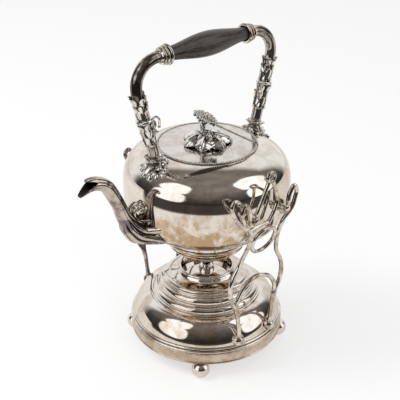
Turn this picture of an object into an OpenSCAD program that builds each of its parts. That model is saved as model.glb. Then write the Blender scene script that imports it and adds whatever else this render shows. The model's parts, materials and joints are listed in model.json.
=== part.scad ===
// Silver-plated spirit kettle on its stand: a domed base on ball feet with a spirit burner in its
// well, two wire side brackets, and a squat kettle that hangs between them on four pins and pours by
// tilting on the two pins nearest its spout. +Z is up, the spout points along -X, and the origin
// lies on the stand's axis at the level that the ball feet rest on. Lengths are in millimetres.

/* [Stand base] */
// Outer diameter of the base band
base_d = 172; // [160:1:184]
// Height of the base band
band_h = 14; // [10:0.5:18]
// Thickness of the spun sheet of the stand
sheet = 1.2; // [0.8:0.1:1.6]
// Diameter of a ball foot
ball_d = 19.5; // [16:0.5:24]
// How far a ball foot's centre lies inside the band's outer face
foot_inset = 3; // [2:0.5:6]
// Depth of the small flat that each ball foot stands on
foot_flat = 0.3; // [0.1:0.1:1]
// How far a ball foot is let up into the band
foot_let_in = 2.2; // [1:0.1:4]
// Diameter of the wires that cover the step between the band and the dome
step_wire_d = 2.8; // [2:0.1:3.4]
// Height of the big dome above its skirt
dome_h = 24.6; // [20:0.2:30]
// Diameter of the second tier, which stands on the big dome
tier_d = 120; // [112:1:128]
// Height of the second tier
tier_h = 15.4; // [12:0.2:18]
// Diameter of the third tier
top_tier_d = 102; // [94:1:108]
// Height of the third tier
top_tier_h = 7; // [5:0.2:9]
// Rise of the sloping collar round the burner well
collar_rise = 7; // [4:0.2:10]

/* [Spirit burner] */
// Inner diameter of the burner well
well_d = 57; // [50:1:62]
// Depth of the burner well
well_depth = 24; // [18:1:30]
// Gap round the burner in its well
burner_gap = 0.5; // [0.3:0.1:1.5]
// Height of the burner's straight side
burner_h = 15; // [10:1:17]
// Outer diameter of the wick tube
wick_tube_d = 9.4; // [7:0.2:12]
// Height of the wick tube above its screw collar
wick_tube_h = 6; // [4:0.5:8]
// How far the wick stands out of its tube
wick_out = 2; // [1:0.5:4]

/* [Kettle body] */
// Diameter of the kettle at its widest
body_d = 178; // [168:1:186]
// Height of the kettle's widest level above the table
body_z = 196; // [190:1:202]
// Height of the body above its widest level, to the lid seat
shoulder_h = 43.7; // [40:0.2:48]
// Depth of the body below its widest level
belly_h = 53.5; // [48:0.5:58]
// Wall of the kettle
wall = 1.3; // [1:0.1:2]
// Diameter of the flat lid seat
seat_d = 107; // [102:1:112]
// Diameter of the opening under the lid
mouth_d = 92; // [84:1:96]
// Depth of the neck flange that lines the opening
neck_h = 7; // [5:0.5:10]
// Upper diameter of the stepped foot ring
foot_ring_d = 97; // [90:1:100]
// How much narrower the stepped foot ring is at its bottom
foot_ring_taper = 13; // [10:1:16]
// Height of the stepped foot ring
foot_ring_h = 23.3; // [20:0.5:26]

/* [Lid] */
// Thickness of the lid plate
lid_t = 1.4; // [1.4:0.1:2]
// Diameter of the rope border round the lid
rope_d = 2.4; // [1.6:0.1:3]
// Distance of the hinge line from the lid's centre
hinge_x = 37.5; // [34:0.5:40]
// Outer diameter of the hinge barrel
barrel_d = 2.6; // [2:0.1:2.6]
// Diameter of the hinge pin
hinge_pin_d = 1.2; // [0.9:0.1:1.4]
// Radius of the rosette of leaves under the finial
rosette_r = 27; // [22:1:30]
// Height of the rosette
rosette_h = 16; // [12:0.5:20]
// Height of the finial flower above the rosette
flower_h = 16.5; // [14:0.5:20]
// Diameter of the flower's head
flower_d = 27; // [22:1:30]

/* [Spout] */
// How far the spout's lip reaches from the axis
spout_reach = 158; // [150:1:166]
// Height of the spout's lip above the table
lip_z = 236; // [228:1:242]
// Radius of the spout at its narrow middle
spout_r = 7.2; // [6:0.1:8]
// Half height of the spout's root
root_half_h = 18; // [15:0.5:20]
// Half width of the spout's root
root_half_w = 21; // [17:0.5:24]
// Wall of the spout
spout_wall = 1.2; // [1:0.1:1.6]

/* [Handle] */
// Height of the grip's centre line above the table
grip_z = 347.5; // [340:0.5:356]
// Length of the ebony grip
grip_l = 98; // [90:1:106]
// Diameter of the grip at its ends
grip_end_d = 14; // [12:0.5:16]
// Diameter of the grip at its middle
grip_mid_d = 25; // [20:0.5:30]
// Length of a ferrule
ferrule_l = 13.5; // [10:0.5:16]
// Diameter of the handle's tubes
arm_d = 11.6; // [10:0.2:12.6]
// Wall of the handle's tubes
arm_wall = 1.2; // [1:0.1:2]
// Radius of the bend at the top of each arm
bend_r = 26; // [22:0.5:30]
// Distance of a handle mount's middle inside the kettle's widest line
mount_in = 20; // [17:0.5:23]
// Radius of a cast mount on the shoulder
mount_r = 14.5; // [12:0.5:16]
// Length of one foliage sleeve along its arm
sleeve_l = 26.5; // [22:0.5:28]
// Largest diameter of a foliage sleeve
sleeve_d = 18; // [16:0.5:20]

/* [Side brackets] */
// Diameter of the bracket wire
wire_d = 4.8; // [4:0.1:5.4]
// Diameter of the kettle's pins
pin_d = 5; // [4:0.1:6]
// Distance of a pin from the kettle's middle, along the spout's direction
pin_x = 21.3; // [19:0.1:24]
// Gap between the kettle's side and the hooks that carry its pins
hook_gap = 3.6; // [2.5:0.1:6]
// Distance of a bracket's legs from the axis, at the dome
leg_y = 80; // [78:0.5:82]
// Distance of a leg's foot from the bracket's middle
leg_x = 22.5; // [18:0.5:26]
// Widest spread of the legs from the bracket's middle
leg_spread = 37; // [33:0.5:42]
// Height of the left bracket's hairpins above the pins
left_hairpin_h = 20.5; // [15:0.5:24]
// Height of the right bracket's hairpins above the pins
right_hairpin_h = 13; // [11:0.5:20]
// Height of the left bracket's top ring above the pins
left_eye_h = 40.6; // [34:0.2:44]
// Height of the right bracket's top ring above the pins
right_eye_h = 33; // [28:0.5:42]
// Outer radius of the ring at the bracket's waist
waist_ring_r = 17.5; // [14:0.5:18]

/* [Hidden] */

// Smoothness of turned work, and of the small faceted wires
$fn = 96;
wire_sides = 8;
spout_sides = 20;

// Clearances: a pin in its bore, a soldered joint, a face that only comes near another, and the
// gap that stays under the closed lid
pin_fit = 0.06;
solder_gap = 0.05;
near_gap = 0.3;
lid_gap = 0.05;

// Levels and radii of the stand
base_r = base_d / 2;
ball_r = ball_d / 2;
ball_z = ball_r - foot_flat;
band_z = ball_z + ball_r - foot_let_in;
band_top = band_z + band_h;
foot_r = base_r - foot_inset;
foot_angles = [45, 135, 225, 315];
spigot_r = 1.6;
spigot_h = 3;
band_flange_w = 12;
band_lip_w = 8;
step_wire_r = step_wire_d / 2;
step_top = band_top + 4.1 * step_wire_r;
skirt_r = base_r - step_wire_d - 1.6;
skirt_h = 6;
dome_z = band_top + skirt_h;
shoulder_out = 0.5;
tier_r = tier_d / 2;
tier_z = dome_z + dome_h;
top_tier_r = top_tier_d / 2;
top_tier_z = tier_z + tier_h;
collar_z = top_tier_z + top_tier_h;
well_r = well_d / 2;
well_rim_z = collar_z + collar_rise;
well_rim_wire_r = 1.4;
well_floor_z = well_rim_z - well_depth;

// Levels and radii of the burner
burner_r = well_r - burner_gap;
burner_z = well_floor_z;
burner_rim_z = burner_z + burner_h;
burner_dome_h = 2.5;
socket_r = 9;
socket_h = 3.5;
socket_z = burner_rim_z + burner_dome_h;
wick_tube_r = wick_tube_d / 2;
wick_collar_r = 7.4;
wick_collar_h = 2.4;
wick_collar_z = socket_z + socket_h;
wick_thread_r = 6;
wick_wall = 0.8;
wick_tube_top = wick_collar_z + wick_collar_h + wick_tube_h;

// Levels and radii of the kettle
body_r = body_d / 2;
seat_z = body_z + shoulder_h;
seat_r = seat_d / 2;
mouth_r = mouth_d / 2;
shoulder_power = 3;
belly_power = 3.3;
// Half height of the curve that the shoulder follows, which the lid seat cuts off
shoulder_full = shoulder_h / round_off(seat_r / body_r, shoulder_power);
foot_ring_r = foot_ring_d / 2;
foot_ring_low_r = foot_ring_r - foot_ring_taper / 2;
foot_ring_wall = 2.2;

// Levels and radii of the lid
lid_top = seat_z + lid_t;
rope_r = rope_d / 2;
plate_r = seat_r - rope_d - 0.6;
rope_ring_r = plate_r + rope_r + solder_gap;
barrel_r = barrel_d / 2;
hinge_z = lid_top;
hinge_slot = barrel_r + near_gap;
hinge_half = sqrt(pow(plate_r, 2) - pow(hinge_x, 2)) - 4;
knuckle_count = 5;
knuckle_gap = 0.3;
knuckle_l = (2 * hinge_half - (knuckle_count - 1) * knuckle_gap) / knuckle_count;
rim_flange_h = 5;
rim_flange_gap = 0.8;
flower_tilt = 24;
flower_side = -40;
stem_lean = 56;
stem_l = 0.42 * flower_h;
finial_stud_r = 2;

// Levels of the handle
mount_x = body_r - mount_in;
mount_sink = 9;
mount_stub_l = 14;
grip_half = grip_l / 2;
arm_r = arm_d / 2;
bend_x = grip_half + ferrule_l;
bend_z = grip_z - bend_r;
grip_rod_r = 2.5;
collar_ring_r = 2.3;
ferrule_spigot_l = 3;
arm_foot_z = shoulder_z(mount_x) + 10;
to_foot = [mount_x - bend_x, bend_z - arm_foot_z];
arm_lean = asin(bend_r / norm(to_foot)) - atan2(to_foot.x, to_foot.y);
arm_top = [bend_x + bend_r * cos(arm_lean), bend_z - bend_r * sin(arm_lean)];
arm_l = norm([mount_x, arm_foot_z] - arm_top);

// Places of the brackets
wire_r = wire_d / 2;
pin_r = pin_d / 2;
cradle_r = pin_r + pin_fit + wire_r;
pin_z = body_z;
hook_y = body_r + hook_gap + wire_r;
pin_end_y = hook_y + wire_r + near_gap + 2.8;
pad_in = 2;
pad_reach = norm([leg_x, leg_y - pad_in]);
pad_r = 7;
pad_sink = 2.5;
pad_z = dome_surface_z(pad_reach);
pad_top = pad_z + 2.5;
lean_z = pad_z + 0.54 * (pin_z - pad_z);
fork_z = pad_top + 0.24 * (pin_z - pad_top);
spread_z = pad_top + 0.43 * (pin_z - pad_top);
arch_z = spread_z + 4;
waist_z = pad_top + 0.78 * (pin_z - pad_top);
waist_wire_r = 2.1;
waist_x = waist_ring_r + near_gap / 3 + wire_r;
top_ring_r = 4.6;
tendril_r = wire_r - 0.3;

// Helpers: curves, shells of revolution and swept wires

// Points of a quarter ellipse from p, where it runs straight up, to q, where it runs level
function quarter(p, q, n = 10) =
    [for (i = [0 : n]) [q.x + (p.x - q.x) * cos(90 * i / n), p.y + (q.y - p.y) * sin(90 * i / n)]];

function backwards(list) = [for (i = [len(list) - 1 : -1 : 0]) list[i]];

// Radius of the kettle's outside, drawn inwards by a wall, at a share of its half height
function round_off(share, power) = pow(1 - pow(share, power), 1 / power);

// Height of the kettle's shoulder over the table at a radius
function shoulder_z(r) = body_z + shoulder_full * round_off(r / body_r, shoulder_power);

// Outline of the kettle from the lid seat down to the middle of its bottom, drawn inwards by t
function kettle_outline(t, n = 16) = let(
        r0 = body_r - t,
        up = shoulder_full - t,
        down = belly_h - t,
        seat_share = pow(1 - pow((seat_r - t) / r0, shoulder_power), 1 / shoulder_power))
    concat(
        [for (i = [0 : n - 1]) let(s = seat_share * (1 - pow(i / n, 1.5)))
            [r0 * round_off(s, shoulder_power), body_z + up * s]],
        [for (i = [0 : n]) let(a = 90 * i / n, c = cos(a), s = sin(a),
                k = 1 / pow(pow(c, belly_power) + pow(s, belly_power), 1 / belly_power))
            [i == n ? 0 : r0 * c * k, body_z - down * s * k]]);

// Height of the stand's big dome at a radius
function dome_surface_z(r) =
    dome_z + dome_h * sqrt(1 - pow((r - tier_r) / (skirt_r + shoulder_out - tier_r), 2));

// Outline of the stand's spun top, from its skirt up to the burner well
function dome_outline() = concat(
    [[skirt_r, band_top], [skirt_r, dome_z - shoulder_out]],
    quarter([skirt_r + shoulder_out, dome_z], [tier_r, tier_z], 14),
    quarter([tier_r, tier_z + 1], [top_tier_r + 1.4, top_tier_z], 8),
    [[top_tier_r + 0.6, top_tier_z]],
    quarter([top_tier_r, top_tier_z + 0.6], [top_tier_r - 4, collar_z], 6),
    [[top_tier_r - 4.6, collar_z]],
    [[well_r + 5, well_rim_z - 1.4], [well_r + sheet + solder_gap, well_rim_z - 1.4]]);

module revolve(points) {
    rotate_extrude() polygon(points);
}

// A spun sheet under an outline that rises inwards, which ends level with the outline's two ends
module spun_sheet(outline, t) {
    first = outline[0];
    last = outline[len(outline) - 1];
    revolve(concat(outline, backwards([for (p = outline) [max(p.x - t, last.x), max(p.y - t, first.y)]])));
}

module ring(r, wire) {
    rotate_extrude() translate([r, 0]) circle(r = wire, $fn = 32);
}

module tube(outer, inner, h) {
    difference() {
        cylinder(r = outer, h = h);
        translate([0, 0, -1]) cylinder(r = inner, h = h + 2);
    }
}

// A point on a smooth curve through four points, between the middle two
function spline(a, b, c, d, t) =
    0.5 * (2 * b + (c - a) * t + (2 * a - 5 * b + 4 * c - d) * t * t + (3 * b - a - 3 * c + d) * t * t * t);

function smooth_path(points, steps = 3) = let(last = len(points) - 1) concat(
    [for (i = [0 : last - 1]) for (j = [0 : steps - 1])
        spline(points[max(i - 1, 0)], points[i], points[i + 1], points[min(i + 2, last)], j / steps)],
    [points[last]]);

function unit(v) = v / norm(v);

// The direction of a path at one of its points
function heading(path, i) = unit(path[min(i + 1, len(path) - 1)] - path[max(i - 1, 0)]);

// Joins rings of points, all with as many points, into one closed solid
module skin(rings) {
    n = len(rings[0]);
    m = len(rings);
    points = [for (one = rings) each one];
    sides = [for (i = [0 : m - 2]) for (j = [0 : n - 1]) let(k = (j + 1) % n)
        each [[i * n + j, (i + 1) * n + j, i * n + k], [i * n + k, (i + 1) * n + j, (i + 1) * n + k]]];
    ends = [[for (j = [0 : n - 1]) j], [for (j = [n - 1 : -1 : 0]) (m - 1) * n + j]];
    polyhedron(points, concat(sides, ends));
}

// A round wire along a path that never runs across the bracket
module wire(path, r = wire_r, r_end = undef) {
    last = len(path) - 1;
    skin([for (i = [0 : last]) let(
            t = heading(path, i),
            u = unit(cross([0, 1, 0], t)),
            v = cross(t, u),
            w = is_undef(r_end) ? r : r + (r_end - r) * i / last)
        [for (j = [0 : wire_sides - 1]) let(a = 360 * j / wire_sides)
            path[i] + w * (u * cos(a) + v * sin(a))]]);
}

// Stand base

module base_dome() {
    color("lightgray") spun_sheet(dome_outline(), sheet);
}

module base_band() {
    color("tan") difference() {
        revolve([
            [base_r, band_z], [base_r, band_top], [base_r - band_lip_w, band_top],
            [base_r - band_lip_w, band_top - sheet], [base_r - sheet, band_top - sheet],
            [base_r - sheet, band_z + sheet], [base_r - band_flange_w, band_z + sheet],
            [base_r - band_flange_w, band_z]]);
        for (a = foot_angles)
            rotate(a) translate([foot_r, 0, band_z - 1]) cylinder(r = spigot_r + solder_gap, h = sheet + 2);
    }
}

module step_wires() {
    color("silver") {
        translate([0, 0, band_top + step_wire_r]) ring(base_r - step_wire_r, step_wire_r);
        translate([0, 0, step_top - step_wire_r])
            ring(skirt_r + step_wire_r + solder_gap, step_wire_r);
    }
}

module ball_feet() {
    color("silver") for (a = foot_angles) rotate(a) {
        difference() {
            translate([foot_r, 0, ball_z]) sphere(r = ball_r);
            translate([foot_r, 0, -ball_r]) cube([3 * ball_r, 3 * ball_r, 2 * ball_r], center = true);
            translate([0, 0, band_z]) cylinder(r = base_r + solder_gap, h = ball_r);
        }
        translate([foot_r, 0, band_z - 1]) cylinder(r = spigot_r, h = spigot_h + 1);
    }
}

module burner_well() {
    color("silver") {
        difference() {
            union() {
                translate([0, 0, well_floor_z - sheet])
                    cylinder(r = well_r + sheet, h = well_depth + sheet - 0.4);
                translate([0, 0, well_rim_z]) ring(well_r + sheet, well_rim_wire_r);
            }
            translate([0, 0, well_floor_z]) cylinder(r = well_r, h = 2 * well_depth);
        }
    }
}

// Side brackets

// Distance of a bracket's wires from the axis at a level: the legs stand plumb over the dome and
// lean out to the hooks beside the kettle
function lean_share(z) = let(s = min(max((z - lean_z) / (pin_z - lean_z), 0), 1)) s * s * (3 - 2 * s);
function wire_y(z) = leg_y + (hook_y - leg_y) * lean_share(z);

// A path in the bracket's sheet from points of its front view
function on_bracket(points) = smooth_path([for (p = points) [p.x, -wire_y(p.y), p.y]]);

// Front views of the wires, for the half of the bracket on the side of sign s
function leg_points(s, hairpin) = [
    [s * leg_x, pad_top + solder_gap],
    [s * (leg_x + 1.5), pad_top + 0.4 * (fork_z - pad_top)],
    [s * (leg_x + 5), fork_z],
    [s * (leg_spread - 2), 0.5 * (fork_z + spread_z)],
    [s * leg_spread, spread_z],
    [s * (leg_spread - 3), spread_z + 0.25 * (waist_z - spread_z)],
    [s * (waist_x + 6.5), spread_z + 0.52 * (waist_z - spread_z)],
    [s * (waist_x + 1.4), waist_z - 0.35 * waist_ring_r],
    [s * waist_x, waist_z + 0.2 * waist_ring_r],
    [s * (waist_x + 2.5), waist_z + waist_ring_r],
    [s * (pin_x + 10), pin_z - 5],
    [s * (pin_x + 14.5), pin_z + 0.25 * hairpin],
    [s * (pin_x + 16.4), pin_z + 0.65 * hairpin],
    [s * (pin_x + 12.6), pin_z + hairpin],
    [s * (pin_x + 7.4), pin_z + 0.73 * hairpin],
    [s * (pin_x + cradle_r + 0.4), pin_z + 0.4 * hairpin],
    [s * (pin_x + cradle_r), pin_z + 0.16 * hairpin],
    [s * (pin_x + cradle_r), pin_z + near_gap]];

arch_points = [
    [-leg_x - 5, fork_z], [-0.72 * leg_spread, fork_z + 0.4 * (arch_z - fork_z)],
    [-0.45 * leg_spread, arch_z - 6], [0, arch_z], [0.45 * leg_spread, arch_z - 6],
    [0.72 * leg_spread, fork_z + 0.4 * (arch_z - fork_z)], [leg_x + 5, fork_z]];

// The tendril that crosses from a leg under the pins and up to the top ring, for sign s of that leg
function tendril_points(s, top) = [
    [s * (pin_x + 7), pin_z - 12], [s * pin_x, pin_z - 10.5], [s * (pin_x - 7.5), pin_z - 9.5],
    [s * 7, pin_z - 9.5], [0, pin_z - 9], [-s * 4, pin_z - 3], [-s * 8, pin_z + 0.11 * top],
    [-s * 10.5, pin_z + 0.32 * top], [-s * 7.5, pin_z + 0.62 * top], [-s * 2.5, pin_z + top - top_ring_r]];

// The prong that comes down from the top ring and keeps the pin on the side of sign s from lifting
function prong_points(s, top) = [
    [s * 2.5, pin_z + top - top_ring_r], [s * 8, pin_z + 0.62 * top],
    [s * (pin_x - 8), pin_z + 0.35 * top], [s * (pin_x - 4), pin_z + pin_r + tendril_r + 2.6],
    [s * (pin_x - 1.6), pin_z + pin_r + tendril_r + 0.7]];

function curl_points(s) = [
    [s * (pin_x + 10), pin_z - 7], [s * (pin_x + 20), pin_z + 3.5], [s * (pin_x + 27), pin_z + 15],
    [s * (pin_x + 29.5), pin_z + 24], [s * (pin_x + 27), pin_z + 29], [s * (pin_x + 22.5), pin_z + 28.5],
    [s * (pin_x + 20), pin_z + 24.5]];

// One cast wire bracket on the -Y side, with its hairpins and its top ring at given heights over
// the pins
module bracket(hairpin, top) {
    wire(on_bracket(leg_points(-1, hairpin)));
    wire(on_bracket(leg_points(1, hairpin)));
    wire(on_bracket(arch_points));
    wire(on_bracket(tendril_points(-1, top)), tendril_r);
    wire(on_bracket(prong_points(-1, top)), tendril_r);
    translate([0, -hook_y, pin_z + top]) rotate([90, 0, 0]) ring(top_ring_r, tendril_r);
}

module left_bracket() {
    color("silver") {
        bracket(left_hairpin_h, left_eye_h);
        wire(on_bracket(curl_points(-1)), wire_r, 1.6);
    }
}

module right_bracket() {
    color("silver") mirror([0, 1, 0]) bracket(right_hairpin_h, right_eye_h);
}

// Both sides of the stand or the kettle
module both_sides() {
    children();
    mirror([0, 1, 0]) children();
}

module bracket_pads() {
    color("silver") both_sides() for (s = [-1, 1]) difference() {
        translate([s * leg_x, pad_in - leg_y, pad_z - pad_sink]) sphere(r = pad_r);
        translate([s * leg_x, pad_in - leg_y, pad_top + pad_r])
            cube([3 * pad_r, 3 * pad_r, 2 * pad_r], center = true);
        dome_core();
        translate([0, 0, band_top]) cylinder(r = base_r, h = step_top - band_top + solder_gap);
    }
}

// The solid that fills the stand's dome, from which the pads are cut to fit it
module dome_core() {
    revolve(concat([[0, band_top]], [for (p = dome_outline()) p + [solder_gap, solder_gap]],
        [[0, well_rim_z]]));
}

module waist_rings() {
    slope = wire_y(waist_z + waist_ring_r) - wire_y(waist_z - waist_ring_r);
    lean = atan(slope / (2 * waist_ring_r));
    color("silver") both_sides() translate([0, -wire_y(waist_z), waist_z])
        rotate([90 + lean, 0, 0]) ring(waist_ring_r - waist_wire_r, waist_wire_r);
}

// The round bottoms of the hooks, each with a rounded inner end: a half ring under a pin at x
module cradle(x) {
    both_sides() translate([x, -hook_y, pin_z]) {
        rotate([90, 0, 0]) rotate([0, 0, 180])
            rotate_extrude(angle = 180) translate([cradle_r, 0]) circle(r = wire_r, $fn = 32);
        translate([x < 0 ? cradle_r : -cradle_r, 0, 0]) sphere(r = wire_r, $fn = 32);
    }
}

module front_cradles() {
    color("silver") cradle(-pin_x);
}

module rear_cradles() {
    color("silver") cradle(pin_x);
}

// Spirit burner

module burner_font() {
    color("silver") difference() {
        revolve([
            [0, burner_z], [burner_r - 1, burner_z], [burner_r, burner_z + 1], [burner_r, burner_rim_z],
            [socket_r + 2, socket_z], [0, socket_z]]);
        revolve([
            [0, burner_z + sheet], [burner_r - sheet, burner_z + sheet],
            [burner_r - sheet, burner_rim_z - sheet], [socket_r + 1, socket_z - sheet],
            [0, socket_z - sheet]]);
        translate([0, 0, burner_rim_z]) cylinder(r = wick_thread_r + pin_fit, h = 2 * burner_dome_h);
    }
}

module burner_screw_socket() {
    color("silver") translate([0, 0, socket_z]) tube(socket_r, wick_thread_r + pin_fit, socket_h);
}

module wick_collar() {
    color("silver") difference() {
        union() {
            translate([0, 0, socket_z - 1]) cylinder(r = wick_thread_r, h = socket_h + 2);
            translate([0, 0, wick_collar_z]) cylinder(r = wick_collar_r, h = wick_collar_h);
            for (i = [0 : 11]) rotate(30 * i) translate([wick_collar_r, 0, wick_collar_z])
                cylinder(r = 0.9, h = wick_collar_h, $fn = 24);
        }
        translate([0, 0, socket_z - 2])
            cylinder(r = wick_tube_r + solder_gap, h = socket_h + wick_collar_h + 4);
    }
}

module wick_tube() {
    color("silver") translate([0, 0, socket_z - 1])
        tube(wick_tube_r, wick_tube_r - wick_wall, wick_tube_top - socket_z + 1);
}

module wick() {
    low = burner_z + 2 * sheet;
    color("ivory") translate([0, 0, low])
        cylinder(r = wick_tube_r - wick_wall - solder_gap, h = wick_tube_top + wick_out - low);
}

// Kettle

// Solid that the kettle's outside fills, from the lid seat down
module kettle_core() {
    revolve(concat([[0, seat_z]], kettle_outline(0)));
}

strainer_pitch = 5.6;
strainer_hole_r = 1.7;
strainer_z = root_z() + 3;

module strainer_holes() {
    for (row = [-2 : 2]) for (col = [-2 : 2])
        if (abs(row) + abs(col) < 4)
            translate([-body_r - 2, (col + (row % 2 == 0 ? 0 : 0.5)) * strainer_pitch,
                strainer_z + row * strainer_pitch * 0.87])
                rotate([0, 90, 0]) cylinder(r = strainer_hole_r, h = 40, $fn = 24);
}

module kettle_body() {
    inner = kettle_outline(wall);
    color("silver") difference() {
        revolve(concat([[mouth_r, seat_z]], kettle_outline(0),
            backwards(inner), [[mouth_r, inner[0].y]]));
        strainer_holes();
    }
}

module kettle_foot_ring() {
    top = body_z - belly_h * round_off(foot_ring_r / body_r, belly_power) - solder_gap;
    inside_top = body_z - belly_h * round_off((foot_ring_r - foot_ring_wall) / body_r, belly_power)
        - solder_gap;
    low = top - foot_ring_h;
    step = (foot_ring_r - foot_ring_low_r) / 2;
    color("silver") revolve(concat(
        [[foot_ring_r, top], [foot_ring_r, top - 3]],
        backwards(quarter([foot_ring_r - step, top - 8], [foot_ring_r, top - 3], 5)),
        [[foot_ring_r - step, top - 12], [foot_ring_r - step + 0.9, top - 13],
            [foot_ring_r - step + 0.9, top - 15], [foot_ring_r - step, top - 16],
            [foot_ring_low_r - 0.9, top - 19], [foot_ring_low_r - 0.9, low + 2.5],
            [foot_ring_low_r, low + 2], [foot_ring_low_r, low], [foot_ring_low_r - 2.4, low],
            [foot_ring_low_r - 2.4, top - 18], [foot_ring_r - step - 2.4, top - 14],
            [foot_ring_r - step - 2.4, top - 8], [foot_ring_r - foot_ring_wall, top - 4],
            [foot_ring_r - foot_ring_wall, inside_top]]));
}

module neck_flange() {
    color("silver") translate([0, 0, kettle_outline(wall)[0].y - neck_h])
        tube(mouth_r + wall, mouth_r, neck_h);
}

// Pins on the kettle's sides

module at_pins(xs) {
    both_sides() for (x = xs) translate([x, 0, pin_z]) rotate([90, 0, 0]) children();
}

// The body beside the pins, which is as good as a plain cylinder there
module body_girth() {
    translate([0, 0, pin_z - 20]) cylinder(r = body_r + solder_gap, h = 40, $fn = 360);
}

boss_r = 6.5;
boss_out = 2;
boss_y = sqrt(pow(body_r, 2) - pow(pin_x, 2)) + boss_out;

module pin_bosses() {
    color("silver") difference() {
        at_pins([-pin_x, pin_x]) translate([0, 0, body_r / 2])
            cylinder(r = boss_r, h = boss_y - body_r / 2);
        body_girth();
        at_pins([-pin_x, pin_x]) cylinder(r = pin_r + solder_gap, h = body_r + 10);
    }
}

module side_pins(x) {
    color("silver") difference() {
        at_pins([x]) {
            translate([0, 0, body_r / 2]) cylinder(r = pin_r, h = pin_end_y - body_r / 2);
            translate([0, 0, hook_y + wire_r + near_gap]) cylinder(r = pin_r + 1.2, h = 2.2);
        }
        body_girth();
    }
}

module pivot_pins() {
    side_pins(-pin_x);
}

module cradle_pins() {
    side_pins(pin_x);
}

// Spout: rings of an ellipse along its centre line, each [x, z, half height, half width]

function root_z() = body_z - 0.49 * belly_h;

spout_line = let(r = spout_r, x = -body_r, reach = x + spout_reach, rise = lip_z - body_z) [
    [x + 24, root_z() + 1, root_half_h + 1, root_half_w + 2],
    [x + 8, root_z(), root_half_h, root_half_w],
    [x - 3, root_z() + 1, root_half_h - 2.5, root_half_w - 5],
    [x - 11.5, root_z() + 8, 0.5 * (root_half_h + r), 0.5 * (root_half_w + r) - 1],
    [x - 17, root_z() + 17, r + 2.2, r + 2],
    [x - 21, body_z - 0.05 * rise, r + 0.8, r + 0.8],
    [x - 25.5, body_z + 0.25 * rise, r, r],
    [x - 30.5, body_z + 0.53 * rise, r, r],
    [x - 38.5, body_z + 0.88 * rise, r, r],
    [x - 47.5, body_z + 1.05 * rise, r - 0.3, r],
    [0.5 * (x - 47.5 - spout_reach), body_z + 1.1 * rise, r - 0.7, r],
    [-spout_reach, lip_z + 1, r - 1.6, r - 0.6]];

spout_steps = 3;
spout_path = smooth_path(spout_line, spout_steps);

function spout_rings(t, extra) = let(last = len(spout_path) - 1)
    [for (i = [0 : last]) let(
            p = spout_path[i],
            h = heading([for (q = spout_path) [q.x, q.y]], i),
            push = i == 0 ? -extra : (i == last ? extra : 0))
        [for (j = [0 : spout_sides - 1]) let(
                a = 360 * j / spout_sides,
                up = (p[2] - t) * cos(a),
                out = -(p[3] - t) * sin(a))
            [p.x + h.x * push - h.y * up, out, p.y + h.y * push + h.x * up]]];

scroll_r = 8.5;
scroll_w = 17;

// The rolled leaf on top of the spout's root
module spout_scroll() {
    translate([-body_r - 1.5, 0, root_z() + root_half_h + 6.5]) rotate([90, 0, 0]) {
        cylinder(r = scroll_r - 1.5, h = scroll_w, center = true);
        for (s = [-1, 1]) translate([0, 0, 0.42 * scroll_w * s]) ring(scroll_r - 3, 2.6);
        sphere(r = scroll_r);
    }
}

module spout() {
    color("silver") difference() {
        union() {
            skin(spout_rings(0, 0));
            spout_scroll();
        }
        skin(spout_rings(spout_wall, 3));
        kettle_core();
        mouth_cut();
    }
}

// The slanting cut that opens the spout's mouth upwards, from its lip back along its top
module mouth_cut() {
    slant = 25;
    translate([-spout_reach, 0, lip_z - 2]) rotate([0, -slant, 0])
        translate([-3 * spout_r, -3 * spout_r, 0]) cube([9 * spout_r, 6 * spout_r, 5 * spout_r]);
}

// Lid: the part behind the hinge line is fixed to the body

module behind_hinge(x) {
    translate([x, -body_r, seat_z - 20]) cube([body_r, 2 * body_r, 40]);
}

// Room for the barrel between the lid and the fixed segment
module barrel_slot() {
    translate([hinge_x - hinge_slot, -hinge_half - near_gap, seat_z - 1])
        cube([2 * hinge_slot, 2 * (hinge_half + near_gap), 2 * lid_t + 2]);
}

module fixed_lid_segment() {
    color("silver") difference() {
        intersection() {
            translate([0, 0, seat_z]) cylinder(r = plate_r, h = lid_t);
            behind_hinge(hinge_x + near_gap / 2);
        }
        barrel_slot();
    }
}

module rope_ring() {
    difference() {
        translate([0, 0, lid_top - 0.2]) ring(rope_ring_r, rope_r);
        translate([0, 0, seat_z - rope_d]) cylinder(r = seat_r + rope_d, h = rope_d);
    }
}

module fixed_rope_border() {
    color("silver") intersection() {
        rope_ring();
        behind_hinge(hinge_x + rope_r + near_gap);
    }
}

// Every second knuckle with the leaf that joins it to its plate, on the side of sign s
module knuckles(first, s, gap) {
    for (i = [first : 2 : knuckle_count - 1])
        translate([hinge_x, i * (knuckle_l + knuckle_gap) - hinge_half, 0]) difference() {
            union() {
                translate([0, 0, hinge_z]) rotate([-90, 0, 0]) cylinder(r = barrel_r, h = knuckle_l);
                translate([s > 0 ? 0 : -hinge_slot, 0, lid_top - lid_t / 2])
                    cube([hinge_slot, knuckle_l, lid_t / 2]);
            }
            translate([0, -1, hinge_z]) rotate([-90, 0, 0])
                cylinder(r = hinge_pin_d / 2 + gap, h = knuckle_l + 2, $fn = 32);
        }
}

module body_hinge_knuckles() {
    color("silver") knuckles(0, 1, solder_gap);
}

module lid_hinge_knuckles() {
    color("silver") knuckles(1, -1, pin_fit);
}

module hinge_pin() {
    color("dimgray") translate([hinge_x, -hinge_half, hinge_z])
        rotate([-90, 0, 0]) cylinder(r = hinge_pin_d / 2, h = 2 * hinge_half, $fn = 32);
}

module lid_plate() {
    color("silver") difference() {
        translate([0, 0, seat_z + lid_gap]) cylinder(r = plate_r, h = lid_t - lid_gap);
        behind_hinge(hinge_x - near_gap / 2);
        barrel_slot();
        translate([0, 0, seat_z - 1]) cylinder(r = finial_stud_r + solder_gap, h = 4, $fn = 32);
    }
}

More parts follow.
